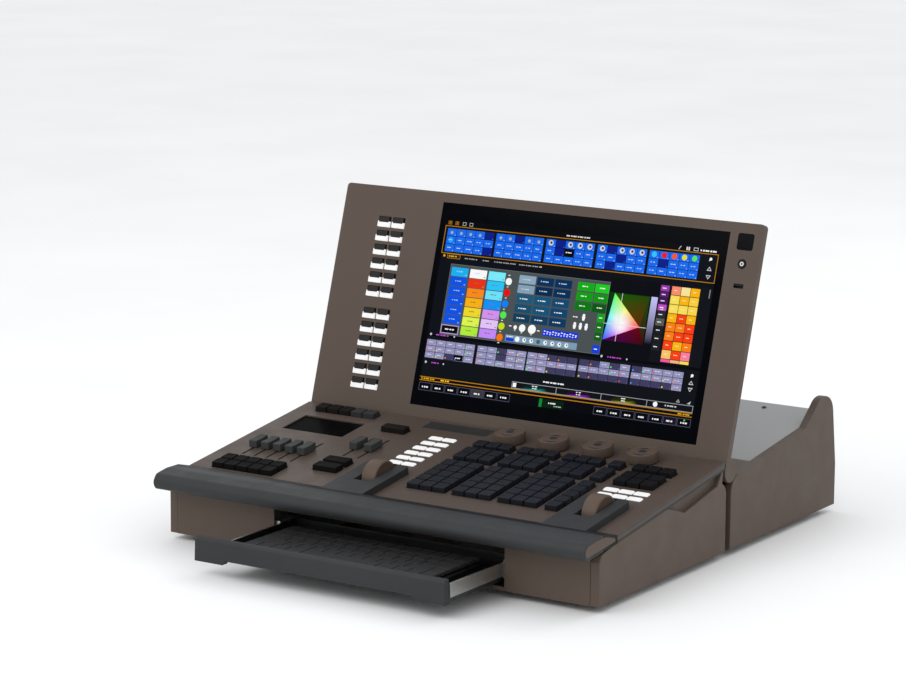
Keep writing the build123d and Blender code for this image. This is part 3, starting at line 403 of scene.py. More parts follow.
def streaked_sheet(name, colour):
    """Light grey painted sheet with faint slanting streaks."""
    shader = Shader(name, 0.42)
    streaks = shader.noise(1.0, 5, shader.stretched((9, 60, 9), (0, 0, 34)))
    base = linear(colour)
    output = shader.blend(shader.spread(streaks, 0, 1, 0.35, 0.65), shaded(base, 0.95), shaded(base, 1.05))
    output = shader.blend(shader.spread(shader.noise(900, 2), 0, 0.3, 0.5, 0.8), output, shaded(base, 1.2))
    shader.colour(output)
    shader.rough(shader.spread(streaks, 0.36, 0.5))
    shader.bump(shader.noise(1300, 2), 0.00004)
    return shader.material


GLASS_SPECULAR = 0.022


def glass_black(name, colour="#020306", roughness=0.08, specular=GLASS_SPECULAR):
    """Black glass with a trace of fingerprints."""
    shader = Shader(name, roughness, specular=specular)
    smears = shader.noise(55, 6)
    base = linear(colour)
    shader.colour(shader.blend(shader.spread(smears, 0, 1), shaded(base, 0.8), shaded(base, 1.5)))
    shader.rough(shader.spread(smears, roughness, roughness + 0.07, 0.5, 0.8))
    return shader.material


def lamp_cap(name, colour, power):
    """Translucent white cap lit from behind, with a soft grain."""
    shader = Shader(name, 0.35, specular=0.2)
    base = linear(colour)
    cloud = shader.spread(shader.noise(120, 3), 0, 1)
    output = shader.blend(cloud, shaded(base, 0.93), shaded(base, 1.0))
    shader.colour(shader.blend(cloud, shaded(base, 0.2), shaded(base, 0.24)))
    shader.link(output, shader.surface.inputs["Emission Color"])
    shader.surface.inputs["Emission Strength"].default_value = power
    shader.bump(shader.noise(700, 2), 0.00003)
    return shader.material


def picture(name, power):
    """The display's picture: colours come with the mesh, in a fine dot pattern."""
    shader = Shader(name, 0.12, specular=GLASS_SPECULAR)
    paint = shader.nodes.new("ShaderNodeVertexColor")
    paint.layer_name = "Picture"
    dots = shader.spread(shader.noise(2600, 1), 0, 0.12)
    output = shader.blend(dots, paint.outputs["Color"], [0.0, 0.0, 0.0, 1.0])
    shader.link(output, shader.surface.inputs["Emission Color"])
    shader.surface.inputs["Emission Strength"].default_value = power
    shader.surface.inputs["Base Color"].default_value = linear("#020204")
    smears = shader.noise(55, 6)
    shader.rough(shader.spread(smears, 0.08, 0.16, 0.5, 0.8))
    return shader.material


def circuit(name):
    """Green board with copper tracks."""
    shader = Shader(name, 0.3, specular=0.6)
    cells = shader.nodes.new("ShaderNodeTexBrick")
    cells.inputs["Scale"].default_value = 160
    cells.inputs["Mortar Size"].default_value = 0.03
    for socket, colour in (("Color1", "#0d4a26"), ("Color2", "#0a3b20"), ("Mortar", "#3d7a3c")):
        cells.inputs[socket].default_value = linear(colour)
    shader.link(shader.place, cells.inputs["Vector"])
    pads = shader.spread(shader.noise(420, 1), 0, 1, 0.66, 0.7)
    shader.colour(shader.blend(pads, cells.outputs["Color"], linear("#b58a3a")))
    shader.bump(cells.outputs["Fac"], 0.00005)
    return shader.material


housing = moulded("housing_paint", "#564a42", 0.46, 0.025, 1500, 0.00004, 0.5, "#6b5f56")
# Painted shade: the panel takes the housing's brown paint made darker, as its upward face gets less light;
# sheet_edge adds a grey strip on its side edges
shaded_panel_paint = moulded("shaded_panel_paint", "#4e433c", 0.42, 0.03, 1500, 0.00004, 0.45, "#62564e", band=sheet_edge)
TRIM = ("#323435", 0.5, 0.06, 1100, 0.00006, 0.4, "#454748")
trim = moulded("trim_moulding", *TRIM)
# The armrest's moulding, with painted shade (#141515) on its rear slope and on the strip of its top next to the
# panel
shaded_armrest_trim = moulded("armrest_moulding_shaded", *TRIM, band=armrest_back_shade, band_colour="#141515")
inlay = moulded("inlay_moulding", "#303132", 0.44, 0.06, 1100, 0.00005, 0.4, "#424343", specular=0.12)
key_black = key_plastic("key_caps", "#131315", "#222327", wear=0.5, specular=0.05)
key_slate = key_plastic("key_caps_slate", "#15171d", "#262932", 0.4, 0.5)
key_grey = key_plastic("key_caps_grey", "#303132", "#434446", specular=0.06)
key_brown = key_plastic("key_caps_brown", "#191614", "#2a2522", wear=0.5, specular=0.05)
key_matt = key_plastic("key_caps_matt", "#141414", "#1a1a1b", 0.6, specular=0.025)
key_dark = key_plastic("key_caps_dark", "#1f1f20", "#2d2e30", 0.45)
knob_brown = moulded("knob_moulding", "#574a41", 0.42, 0.05, 1700, 0.00004, 0.4, "#6f6056")
wheel_brown = moulded("wheel_moulding", "#594a40", 0.4, 0.05, 1700, 0.00004, 0.4, "#6b5b50")
fader_grey = moulded("fader_caps", "#3f4040", 0.55, 0.08, 1700, 0.00004, 0.5, "#4c4d4c", specular=0.06)
plate_grey = moulded("name_plate_face", "#2e2f30", 0.36, 0.05, 1400, 0.00002, 0.4, "#4a4b4c")
# Painted shade: a darker brown for the walls and floors of the knob grooves
groove_shade_brown = moulded("knob_groove_shade", "#2f2722", 0.6, 0.05, 1700, specular=0.05)
dot_grey = moulded("knob_dot", "#2c3133", 0.4, 0.08, 1700)
black_plastic = moulded("black_moulding", "#101112", 0.42, 0.15, 1300, 0.00005, 0.5, "#202123")
keyboard_black = moulded("keyboard_moulding", "#131414", 0.5, 0.12, 1600, 0.00004, 0.5, "#242526")
board_black = moulded("keyboard_caps", "#2b2b2c", 0.5, 0.1, 1600, 0.00004, 0.4, "#2b2c2d")
rubber = moulded("foot_rubber", "#0e0e0e", 0.8, 0.2, 700, 0.0001)
deck_paint = streaked_sheet("deck_paint", "#8b8b8b")
steel = brushed("brushed_steel", "#b9b9b6")
dark_steel = brushed("dark_steel", "#4c4d4f", 0.42)
gold = brushed("gold_contacts", "#d7b25a", 0.3, (900, 40, 40))
black_glass = glass_black("black_glass")
smoked = glass_black("smoked_window", "#0c0d0f", 0.12)
small_glass = glass_black("small_display_glass", "#080808", 0.22, 0.003)
lit_white = lamp_cap("lit_white", "#ffffff", 0.74)
lit_ring = lamp_cap("lit_ring", "#f4f4f2", 0.6)
board_green = circuit("circuit_board")


# ---- body and covers
EDGE_ROUNDING = [
    ("control_panel", 0.5, shaded_panel_paint), ("side_panels", 1.2, housing), ("rear_cheeks", 0.9, housing),
    ("hinge_crossbar", 0.8, housing), ("rear_deck_cover", 0.4, deck_paint), ("side_trims", 0.4, trim),
    ("armrest", 0.8, shaded_armrest_trim), ("armrest_end_caps", 0.6, housing), ("wheel_inlays", 1.5, inlay),
    ("display_frame", 0.8, housing), ("display_rear_shell", 0.8, housing), ("drawer_front", 0.9, trim),
    ("drawer_tray", 0.4, dark_steel), ("drawer_rails", 0.3, steel), ("keyboard_base", 0.8, keyboard_black),
    ("feet", 0.8, rubber), ("power_inlet", 0.3, black_plastic), ("power_rocker", 0.4, black_plastic),
    ("rear_connectors", 0.25, black_plastic), ("name_plate", 0.15, plate_grey),
    ("small_display", 0.2, small_glass), ("status_window", 0.2, smoked), ("power_supply", 0.6, steel),
    ("hinge_arms", 0.4, steel), ("hinge_brackets", 0.4, steel), ("cooling_fan", 0.3, black_plastic),
]
for node, bevel, material in EDGE_ROUNDING:
    soften(node, bevel, material)
dress(housing, "base_pan", "rear_panel")
dress(steel, "drawer_bay", "hinge_pins")
dress(black_plastic, "usb_port")
dress(dark_steel, "fader_tracks", "encoder_modules", "display_module")
dress(board_green, "control_boards", "main_board")
dress(black_glass, "display_glass")


# ---- keys of the control panel
KEY_PROFILE = ((0, -4, 0.8), (0, 0.7, 0.9), (0.05, 1.0, 1.0), (0.4, 5.7, 1.1), (0.5, 6.15, 1.2),
               (0.9, 6.46, 1.3), (1.6, 6.43, 1.2), (3.6, 6.3, 1.0), (6.0, 6.25, 0.8))
LIT_PROFILE = ((0, -4, 1.2), (0.1, 0.1, 1.8), (0.4, 0.5, 2.1), (0.55, 0.95, 2.3), (0.95, 1.17, 2.3),
               (1.7, 1.12, 1.9), (3.2, 1.05, 1.0))


def cap(build, box, profile, slot=0):
    """One key in its box: rounded rings, each (inset, height, corner radius)."""
    low, high = box
    middle = (low + high) / 2
    build.loft([[(x, y, height) for x, y in rounded(high.x - low.x - 2 * inset, high.y - low.y - 2 * inset,
                                                    radius, middle)]
                for inset, height, radius in profile], slot)


def key_group(node, profile, materials, choose=None):
    """All keys of a node; choose(index, box) picks each key's material."""
    build = Build()
    for index, box in enumerate(solids(node, panel)):
        cap(build, box, profile, choose(index, box) if choose else 0)
    build.piece(node + "_caps", panel, materials, node)


key_group("keypad_keys", KEY_PROFILE, [key_slate])
key_group("command_keys", KEY_PROFILE, [key_slate])
key_group("navigation_keys", KEY_PROFILE, [key_black])
key_group("wide_keys", KEY_PROFILE, [key_matt, key_brown], lambda index, box: int(box[0].y > -100))
key_group("playback_keys", KEY_PROFILE, [key_matt, key_brown, key_grey],
          lambda index, box: 2 if index in (3, 4) else 1 if index < 3 else 0)
key_group("backlit_keys", LIT_PROFILE, [lit_white])

# ---- encoder knobs
KNOB_STEPS = 96
SHAFT_RADIUS, RECESS_DEPTH = 3, 1.1
KNOB_SKIRT = ((1.2, 1.0), (0.3, 1.3), (0, 2.0))  # in from the knob's edge, height
KNOB_RIM = ((0, 1.2), (0.12, 0.5), (0.45, 0.12), (0.85, 0), (1.25, 0.1), (1.5, 0.5),
            (1.65, RECESS_DEPTH))  # in from the knob's edge, below its top
KNOB_DOT = ((5.2, -0.3), (5.2, 0.1), (4.9, 0.3), (3.8, 0.3), (1.6, 0.18))  # radius, height over the recess
FLAT_RADIUS = 14.6  # the recess is flat outside this
GROOVE_RADIUS, GROOVE_WIDTH, GROOVE_DEPTH, GROOVE_SPAN = 11.4, 1.9, 2.6, radians(34)
GROOVE_REACH, GROOVE_STEP, SHADED_DEPTH = 3, 0.4, 0.3
GROOVE_PLACES = (radians(285), radians(105))


def finger_grooves(radius, angle):
    """Depth of the two crescent grooves at a place on a knob's top."""
    depth = 0
    across = radius - GROOVE_RADIUS
    for place in GROOVE_PLACES:
        turn = abs((angle - place + pi) % (2 * pi) - pi)
        if turn < GROOVE_SPAN * pi / 2 and abs(across) < GROOVE_REACH:
            width = GROOVE_WIDTH * max(0.15, cos(turn / GROOVE_SPAN))
            depth += GROOVE_DEPTH * exp(-(across / width) ** 4)
    return depth


def shade_grooves(build, middle, floor):
    """Paints shade into the grooves: their walls and floors get their own, third material, a darker brown."""
    for number, face in enumerate(build.faces):
        corners = [build.points[i] for i in face]
        if all(abs(hypot(x - middle[0], y - middle[1]) - GROOVE_RADIUS) < GROOVE_REACH
               and z < floor - SHADED_DEPTH for x, y, z in corners):
            build.slots[number] = 2


def encoder_knob(index):
    """Turned knob with two finger grooves and a dot in its recessed top."""
    node = f"encoder_knob_{index}"
    low, high = solids(node, panel)[0]
    radius = (high.x - low.x) / 2
    middle = (low + high) / 2
    floor = high.z - RECESS_DEPTH
    profile = [(SHAFT_RADIUS, low.z), (SHAFT_RADIUS, 0.9)]
    profile += [(radius - inset, height) for inset, height in KNOB_SKIRT]
    profile += [(radius - inset, high.z - below) for inset, below in KNOB_RIM] + [(FLAT_RADIUS, floor)]
    profile += [(GROOVE_RADIUS + step * GROOVE_STEP, floor) for step in range(6, -7, -1)]
    build = Build()
    lathe(build, profile, KNOB_STEPS, middle, relief=finger_grooves)
    shade_grooves(build, middle, floor)
    lathe(build, [(r, floor + height) for r, height in KNOB_DOT], 40, middle, slot=1)
    build.piece(node + "_turned", panel, [knob_brown, dot_grey, groove_shade_brown], node)


for number in range(1, 5):
    encoder_knob(number)

# ---- thumb wheels
WHEEL_STEPS, WHEEL_HALF_WIDTH = 96, 10
WHEEL_PROFILE = [(-1, 0.1), (-1, 0.26), (-0.94, 0.28), (-0.94, 0.84), (-1, 0.87), (-1, 0.95), (-0.93, 0.985),
                 (-0.8, 1)]


def thumb_wheel(side):
    """Turned wheel with recessed faces on its axle; the profile is (x, radius) as shares of its size."""
    node = f"thumb_wheel_{side}"
    low, high = solids(node, level)[0]
    middle = (low + high) / 2
    radius = (high.z - low.z) / 2
    axle = (high.x - low.x) / 2
    left = [(-axle, 0.02), (-axle, 0.1)] + [(x * WHEEL_HALF_WIDTH, r) for x, r in WHEEL_PROFILE]
    outline = left + [(-x, r) for x, r in reversed(left)]
    build = Build()
    build.loft([[(middle.x + x, middle.y + radius * r * cos(a), middle.z + radius * r * sin(a))
                 for a in round_angles(WHEEL_STEPS)] for x, r in outline])
    build.piece(node + "_turned", level, [wheel_brown], node)


for side in ("left", "right"):
    thumb_wheel(side)

# ---- fader caps
FADER_HALF = ((0, 9.62), (4, 9.76), (8, 10.1), (10.8, 10.36), (12.2, 10.2), (12.7, 9.5), (13.1, 0.9))
FADER_SECTION = [(-y, z) for y, z in reversed(FADER_HALF)] + list(FADER_HALF[1:])
BLADE_X, BLADE_Y, BLADE_TOP = 0.9, 4.5, 1.2


def fader_cap(node):
    """Cap with a hollowed top and a thin blade down into its slot."""
    low, high = solids(node, panel)[0]
    middle = (low + high) / 2
    half = (high.x - low.x) / 2
    build = Build()
    build.prism([(middle.y + y, z) for y, z in FADER_SECTION], middle.x - half, middle.x + half)
    corners = ((-1, -1), (1, -1), (1, 1), (-1, 1))
    build.slab([(middle.x + x * BLADE_X, middle.y + y * BLADE_Y) for x, y in corners], low.z, BLADE_TOP, 1)
    build.piece(node + "_cap", panel, [fader_grey, dark_steel], node, bevel=0.7, sharp=50)


for node in sorted(frame["nodes"]):
    if "_fader_" in node:
        fader_cap(node)

# ---- keys beside the screen
LIT_TOP, DARK_TOP, DARK_LOW, KEY_FOOT = 2.4, 2.6, 1.0, -3
DARK_INSET, DARK_START, WAVE_MIDDLE, WAVE_HEIGHT, WAVE_STEPS = 1.6, -0.9, 0.1, 0.5, 12


def display_key(build, box):
    """Lit lower half with a wavy upper edge, and a narrower dark half that slopes back."""
    low, high = box
    middle = (low + high) / 2
    half = (high.x - low.x) / 2
    top = high.y - middle.y
    wave = [(half * (1 - 2 * i / WAVE_STEPS), WAVE_MIDDLE + WAVE_HEIGHT * cos(2 * pi * i / WAVE_STEPS + 0.6))
            for i in range(WAVE_STEPS + 1)]
    outline = [(-half, -top), (half, -top)] + wave
    build.slab([(middle.x + x, middle.y + y) for x, y in outline], KEY_FOOT, LIT_TOP)
    section = ((DARK_START, KEY_FOOT), (DARK_START, DARK_TOP), (top - 0.5, DARK_LOW + 0.5),
               (top, DARK_LOW - 0.4), (top, KEY_FOOT))
    build.prism([(middle.y + y, z) for y, z in section],
                middle.x - half + DARK_INSET, middle.x + half - DARK_INSET, 1)


build = Build()
for box in solids("display_keys", screen):
    display_key(build, box)
build.piece("display_key_caps", screen, [lit_white, key_dark], "display_keys", bevel=0.35)

# ---- power button
BUTTON_BODY = ((5.4, 0.3), (5.2, 0.8), (4.6, 0.9), (3.9, 0.7), (3.2, 0.5), (0.4, 0.45))  # radius, height
BUTTON_RING = ((2.7, 0.3), (2.7, 0.62), (2.4, 0.72), (1.5, 0.72), (1.3, 0.5), (1.3, 0.3))
low, high = solids("power_button", screen)[0]
button_middle = (low + high) / 2
build = Build()
lathe(build, ((BUTTON_BODY[0][0], low.z), *BUTTON_BODY), 48, button_middle)
lathe(build, BUTTON_RING, 40, button_middle, slot=1)
build.piece("power_button_ring", screen, [black_plastic, lit_ring], "power_button")

# ---- keyboard caps
CAP_PROFILE = ((0, 0, 0.9), (0, 2.6, 0.9), (0.15, 3.7, 1.0), (0.3, 4.25, 1.1), (0.7, 4.48, 1.2),
               (1.4, 4.42, 1.1), (2.8, 4.3, 0.9))
build = Build()
for box in solids("keyboard_keys", level):
    cap(build, box, [(inset, box[0].z + height, radius) for inset, height, radius in CAP_PROFILE])
build.piece("keyboard_caps", level, [board_black], "keyboard_keys")

# ---- contacts of the round ports
PORT_RECESS, CONTACT_CIRCLE, CONTACT_COUNT = 3, 5.4, 5
CONTACT_START, CONTACT_TURN = radians(-198), radians(54)
ROUND_PORT_HEIGHT = 25  # only the round ports are as tall as this
CONTACT_SECTION = ((1.5, 0), (1.5, 0.3), (1.3, 0.4), (0.9, 0.4), (0.8, 0.05))
build = Build()
for low, high in solids("rear_connectors", level):
    middle = (low + high) / 2
    for number in range(CONTACT_COUNT if high.z - low.z >= ROUND_PORT_HEIGHT else 0):
        turn = CONTACT_START + CONTACT_TURN * number
        x, z = middle.x + CONTACT_CIRCLE * cos(turn), middle.z + CONTACT_CIRCLE * sin(turn)
        build.loft([[(x - r * cos(a), high.y - PORT_RECESS + out, z + r * sin(a)) for a in round_angles(16)]
                    for r, out in CONTACT_SECTION])
build.piece("port_contacts", level, [gold], "rear_connectors", replaces=False)

# ---- screws
SCREW_HEAD = ((3.2, 0), (3.2, 0.5), (2.9, 1.1), (2.2, 1.5), (1.9, 1.55))
SOCKET_RADIUS, SOCKET_DEPTH = 1.7, 1.0
SCREW_STEPS, SCREW_TOP = 24, 1.5


def screw(build, point, towards):
    """Domed head with a six-sided socket, standing on point."""
    towards = Vector(towards).normalized()
    side = Vector((1, 0, 0))
    turn = Matrix((side, towards.cross(side), towards)).transposed()
    angles = round_angles(SCREW_STEPS)
    rings = [[(r * cos(a), r * sin(a), z) for a in angles] for r, z in SCREW_HEAD]
    flats = [SOCKET_RADIUS * cos(pi / 6) / cos((a + pi / 6) % (pi / 3) - pi / 6) for a in angles]
    rings += [[(r * cos(a), r * sin(a), z) for r, a in zip(flats, angles)]
              for z in (SCREW_TOP, SCREW_TOP - SOCKET_DEPTH)]
    build.loft([[point + turn @ Vector(place) for place in ring] for ring in rings])


build = Build()
for low, high in solids("case_screws", level):
    middle = (low + high) / 2
    if high.y - low.y < 3:
        screw(build, Vector((middle.x, low.y, middle.z)), (0, 1, 0))
    else:
        screw(build, middle - 0.8 * panel_normal, panel_normal)
build.piece("socket_screws", level, [dark_steel], "case_screws")


# ---- picture on the display
# Flat coloured shapes on the glass: x to the right and y down from its corner, in millimetres.
LAYER_STEP = 0.05  # each layer's height above the one under it
BLACK, WHITE, ORANGE, NIGHT = "#04050a", "#ffffff", "#c0830f", "#0b0f16"
BLUE, DEEP_BLUE = "#186cf2", "#06208c"
LAVENDER, DUSK, LINE_GREY = "#9996bd", "#413e60", "#55566c"
shape_points, shape_faces, shape_colours = [], [], []


def shape(points, colours, layer):
    """One flat face; each corner has its own colour."""
    start = len(shape_points)
    shape_points.extend(screen @ Vector((x, -y, LAYER_STEP * layer)) for x, y in points)
    shape_faces.append(list(range(start + len(points) - 1, start - 1, -1)))
    shape_colours.extend(reversed(colours))


def fill(points, colour, layer=1):
    shape(points, [linear(colour)] * len(points), layer)


def tile(x, y, width, height, colour, layer=1):
    fill([(x, y), (x + width, y), (x + width, y + height), (x, y + height)], colour, layer)


def border(x, y, width, height, colour, line=0.8, layer=2):
    tile(x, y, width, line, colour, layer)
    tile(x, y + height - line, width, line, colour, layer)
    for left in (x, x + width - line):
        tile(left, y + line, line, height - 2 * line, colour, layer)


def disc(x, y, radius, colour, layer=3, steps=20):
    fill([(x + radius * cos(a), y + radius * sin(a)) for a in round_angles(steps)], colour, layer)


def triangle(x, y, size, colour, up=True, layer=3):
    """An arrow head with a dark middle."""
    sign = size if up else -size
    fill([(x - size, y + sign * 0.7), (x, y - sign * 0.8), (x + size, y + sign * 0.7)], colour, layer)
    fill([(x - size * 0.6, y + sign * 0.45), (x, y - sign * 0.4), (x + size * 0.6, y + sign * 0.45)], BLACK,
         layer + 1)


def caption(x, y, width, colour="#f0f0f0", layer=4, height=1.3):
    """A row of short bars that stands for a caption, without letters."""
    pieces = max(1, round(width / 3.4))
    step = width / pieces
    for i in range(pieces):
        share = 0.72 + 0.2 * ((i * 7 + round(x)) % 3 - 1)
        tile(x - width / 2 + i * step, y - height / 2, share * step, height, colour, layer)


def button(x, y, width, height, colour, place, text=WHITE, line=1.3):
    """A tile with a caption; place is the caption's (x, y, width) from the tile's corner."""
    tile(x, y, width, height, colour, 2)
    caption(x + place[0], y + place[1], place[2], text, 3, line)


TILE_COLUMNS, TILE_ROWS, TILE_GAP = 5, 3, 0.3


def tile_group(x, y, width, height, colour, dark, dark_colour, first_row=True):
    """Five by three tiles with thin gaps; dark lists the empty ones, each as its column and row.

    The first row has captions only with first_row.
    """
    pitch_x, pitch_y = width / TILE_COLUMNS, height / TILE_ROWS
    for column in range(TILE_COLUMNS):
        for row in range(TILE_ROWS):
            left, top = x + column * pitch_x, y + row * pitch_y
            empty = f"{column}{row}" in dark
            tile(left + TILE_GAP, top + TILE_GAP, pitch_x - 2 * TILE_GAP, pitch_y - 2 * TILE_GAP,
                 dark_colour if empty else colour, 2)
            tile(left + pitch_x - 2.6, top + pitch_y - 2, 1.5, 0.8, "#5c6fb0" if empty else "#b9cdf5", 3)
            if not empty and (row or first_row):
                caption(left + pitch_x / 2, top + pitch_y / 2 - 0.4, pitch_x * 0.5, "#dfe8ff", 3, 0.9)


def top_band():
    """Orange-framed band of five groups of blue tiles, with icons on the first row."""
    tile(9.5, 29.5, 400.5, 36, NIGHT, 1)
    border(9.2, 29.2, 401, 36.4, ORANGE, 0.9)
    empties = ("40 42", "20", "10 11", "10 21 12", "11")
    starts = (13.3, 87.9, 163.1, 238.6, 313.4)
    width, height, top = 71.5, 30.6, 32.4
    pitch = width / TILE_COLUMNS
    for group, (x, empty) in enumerate(zip(starts, empties)):
        tile_group(x, top, width, height, BLUE, empty, DEEP_BLUE, False)
        for column in range(TILE_COLUMNS):
            middle = x + (column + 0.5) * pitch
            if f"{column}0" in empty:
                continue
            if group == 4:
                lamp = ("#37c8ff", "#f0182a", "#ff5a28", "#e6e632", "#5ae65a")[column]
                disc(middle, top + 5, 3.7, lamp)
            elif group >= 2 and column != 1:
                disc(middle, top + 4.8, 3.6, "#d5d9e0")
                disc(middle + 0.4, top + 4.6, 1.7, "#39414f", 4)
            else:
                tile(middle - 1.3, top + 2, 2.6, 6, "#55627a", 3)
                disc(middle, top + 5.6, 2.1, "#9fb4d8", 4, steps=12)
    disc(starts[0] + pitch * 0.5, top + 15.3, 3.6, "#23aaff")
    disc(starts[0] + pitch * 1.5, top + 15.3, 3.2, "#1e7af0")
    tile(starts[2] + 2 * pitch + 0.3, top + 10.5, pitch - 0.6, 9.6, BLACK, 4)
    caption(starts[2] + 2.5 * pitch, top + 15, pitch * 0.7, WHITE, 5)
    side_icons(400.2, (35.8, 48, 58.5))


def side_icons(x, heights):
    """A speech mark over an upward and a downward arrow."""
    mark, up, down = heights
    disc(x, mark, 1.9, WHITE)
    fill([(x - 1.6, mark + 0.6), (x - 0.2, mark + 1.6), (x - 2.2, mark + 2.8)], WHITE, 3)
    triangle(x, up, 3.4, "#dddddd", True)
    triangle(x, down, 3.4, "#dddddd", False)


def header():
    """Icons and captions above and below the top band."""
    for x, colour in ((15.4, ORANGE), (26.0, ORANGE), (37.3, "#c9c9c9"), (47.6, "#c9c9c9")):
        border(x - 2.6, 23.2, 5.2, 4.4, colour, 0.6)
        if colour == ORANGE:
            disc(x, 25.4, 1.1, ORANGE, 3, steps=10)
    caption(209, 26, 36, "#e8e8e8", 2, 1.6)
    fill([(353, 27.6), (353.8, 27.9), (356.6, 23.6), (355.8, 23.3)], "#dddddd", 2)
    for x in (364, 366.9):
        tile(x, 23.6, 2.1, 4.4, "#dddddd", 2)
    border(374.4, 23.7, 6.6, 4.2, "#dddddd", 0.7)
    caption(396, 26.3, 24, WHITE, 2, 2)
    disc(14.5, 68.6, 1.7, "#e0a81e", steps=12)
    tile(19, 65.4, 20, 6.2, "#2c2a20", 2)
    border(19, 65.4, 20, 6.2, ORANGE, 0.6, 3)
    caption(28, 68.6, 13, "#f0b41e", 4, 1.6)
    for x, width in ((56, 20), (79, 11), (108, 34), (145, 33)):
        caption(x, 69.6, width, "#a9abb0", 2, 1.3)
    disc(161.4, 69.4, 1.1, "#cfcfcf", 2, steps=10)


def colour_tiles():
    """Three columns of coloured tiles and a column of dots."""
    columns = ((29.4, "#19b4f5" + 5 * " #0b55e6"),
               (57.8, "#ffffff #f1320f #ff8c14 #ffb40a #f5dc28 #e1fa50 #b4f03c"),
               (86.0, "#78f0ff #28c8ff #6ee6ff #0a96ff #d894f5 #e7c8ff #c88cff"))
    for x, colours in columns:
        for row, colour in enumerate(colours.split()):
            top = 82.2 + 12.4 * row
            pale = x > 50
            button(x, top, 25.4, 11.4, colour, (12.5, 5, 9), "#7a6f3a" if pale and row else "#bfd4ff", 1.1)
            tile(x + 21.5, top + 8.4, 2.4, 1.2, "#8f8f8f" if pale else "#9fc0ff", 3)
    tile(27.6, 157.2, 27, 11.6, "#b9a4d6", 2)
    tile(28.8, 158.4, 24.6, 9.2, BLACK, 3)
    caption(41, 163, 14, WHITE, 4, 1.6)
    for row, colour in enumerate("#ffffff #f00a0a #0a82ff #50f050 #c8e614 #ff7800".split()):
        disc(117.5, 92.6 + 14.45 * row, 4.7, colour)
        caption(117.5, 99.6 + 14.45 * row, 3.4, WHITE, 3, 1)
    caption(117.5, 84.6, 4, WHITE, 3, 1)


def workspace():
    """Grey page with teal, navy and green tiles, white lamps, figures and strips."""
    tile(27, 78.2, 238.6, 92.2, "#4b5355", 1)
    border(27, 78.2, 238.6, 92.2, "#757b7c", 0.5)
    colour_tiles()
    rows = ("#8fabc0 #06315c #06315c", "#86a4bb #052a52 #05305c", "#1c5a7c #14557c #114a74",
            "#17506f #14557c #0f4670", "#0f3f5c #0d4066 #0a3a63")
    for row, colours in enumerate(rows):
        for column, colour in enumerate(colours.split()):
            button(132.4 + 26.7 * column, 82.4 + 12.4 * row, 24.8, 10.6, colour, (12, 5.2, 13),
                   WHITE if row > 1 else "#c9d8e8")
    for row, colours in enumerate(("#12b012 #1bd11b", "#0fa00f #0e960e", "#0a7a10 #0a5a10")):
        for column, colour in enumerate(colours.split()):
            button(219.4 + 25.6 * column, 82.4 + 12.5 * row, 20.2 if column else 24, 10.8, colour,
                   (11, 5, 9))
    for y, colour in ((119.6, "#12a812"), (131.6, "#0a7a14"), (143.2, "#0a6414"), (159.2, "#1440e0")):
        button(254.6, y, 10.6, 10.4, colour, (5, 5, 5), line=1.2)
    for x, radius in ((138.1, 2.6), (148.5, 4.8), (163, 5.8)):
        disc(x, 149.6, radius, WHITE)
        tile(x - 1, 149.6 + radius, 2, 2, "#cfcfcf", 3)
    for x, y, width in ((130.6, 148.6, 4), (173, 150.5, 4), (223, 127, 7)):
        caption(x, y, width, WHITE, 3)
    for x, y in ((235.1, 126.6), (223.9, 138.2), (232.4, 138.2), (240.9, 138.2)):
        disc(x, y - 2.6, 2, WHITE, 4)
        fill([(x - 2.6, y - 1), (x + 2.6, y - 1), (x + 1.4, y + 4), (x - 1.4, y + 4)], WHITE, 4)
    tile(179.4, 147.2, 52, 8.4, "#1238de", 2)
    for i in range(12):
        tile(181 + 4.2 * i, 149 + (i % 3) * 0.6, 2.4, 1.4, WHITE, 3)
        tile(181 + 4.2 * i, 152.6 - (i % 2) * 0.5, 1.8, 1.2, WHITE, 3)
    tile(126, 160, 106, 8.6, "#7f9fb8", 2)
    tile(127, 164, 12, 4, "#1238de", 3)
    caption(133, 162, 11, WHITE, 4, 1)
    for i in range(8):
        disc(144 + 10.4 * i, 164.4, 3.4 if i == 0 else 2.8, WHITE if i != 3 else "#4c5a66")
        disc(144.6 + 10.4 * i, 164, 1.2, WHITE if i == 0 else "#51616e", 4, steps=8 + 2 * (i % 3))


GAMUT_CORNERS = ((274.2, 91.3), (266.6, 151.2), (316.3, 130.0))
GAMUT_COLOURS = ((0.12, 1.0, 0.1), (0.02, 0.08, 1.0), (1.0, 0.06, 0.04))
WHITE_POINT = (289.5, 129.8)
GAMUT_STEPS, WHITE_SPREAD = 26, 11


def gamut_colour(weights):
    """Colour inside the gamut: mixed corners, lifted towards the brightest one."""
    mixed = [sum(weight * corner[i] for weight, corner in zip(weights, GAMUT_COLOURS)) for i in range(3)]
    lift = 1 / max(mixed)
    return [min(1, part * lift) ** 0.9 for part in mixed] + [1]


def whiten(point, colour):
    """Fades a colour to white near the picker's white point."""
    away = hypot(point[0] - WHITE_POINT[0], point[1] - WHITE_POINT[1])
    share = exp(-(away / WHITE_SPREAD) ** 2)
    return [part + (1 - part) * share for part in colour[:3]] + [1]


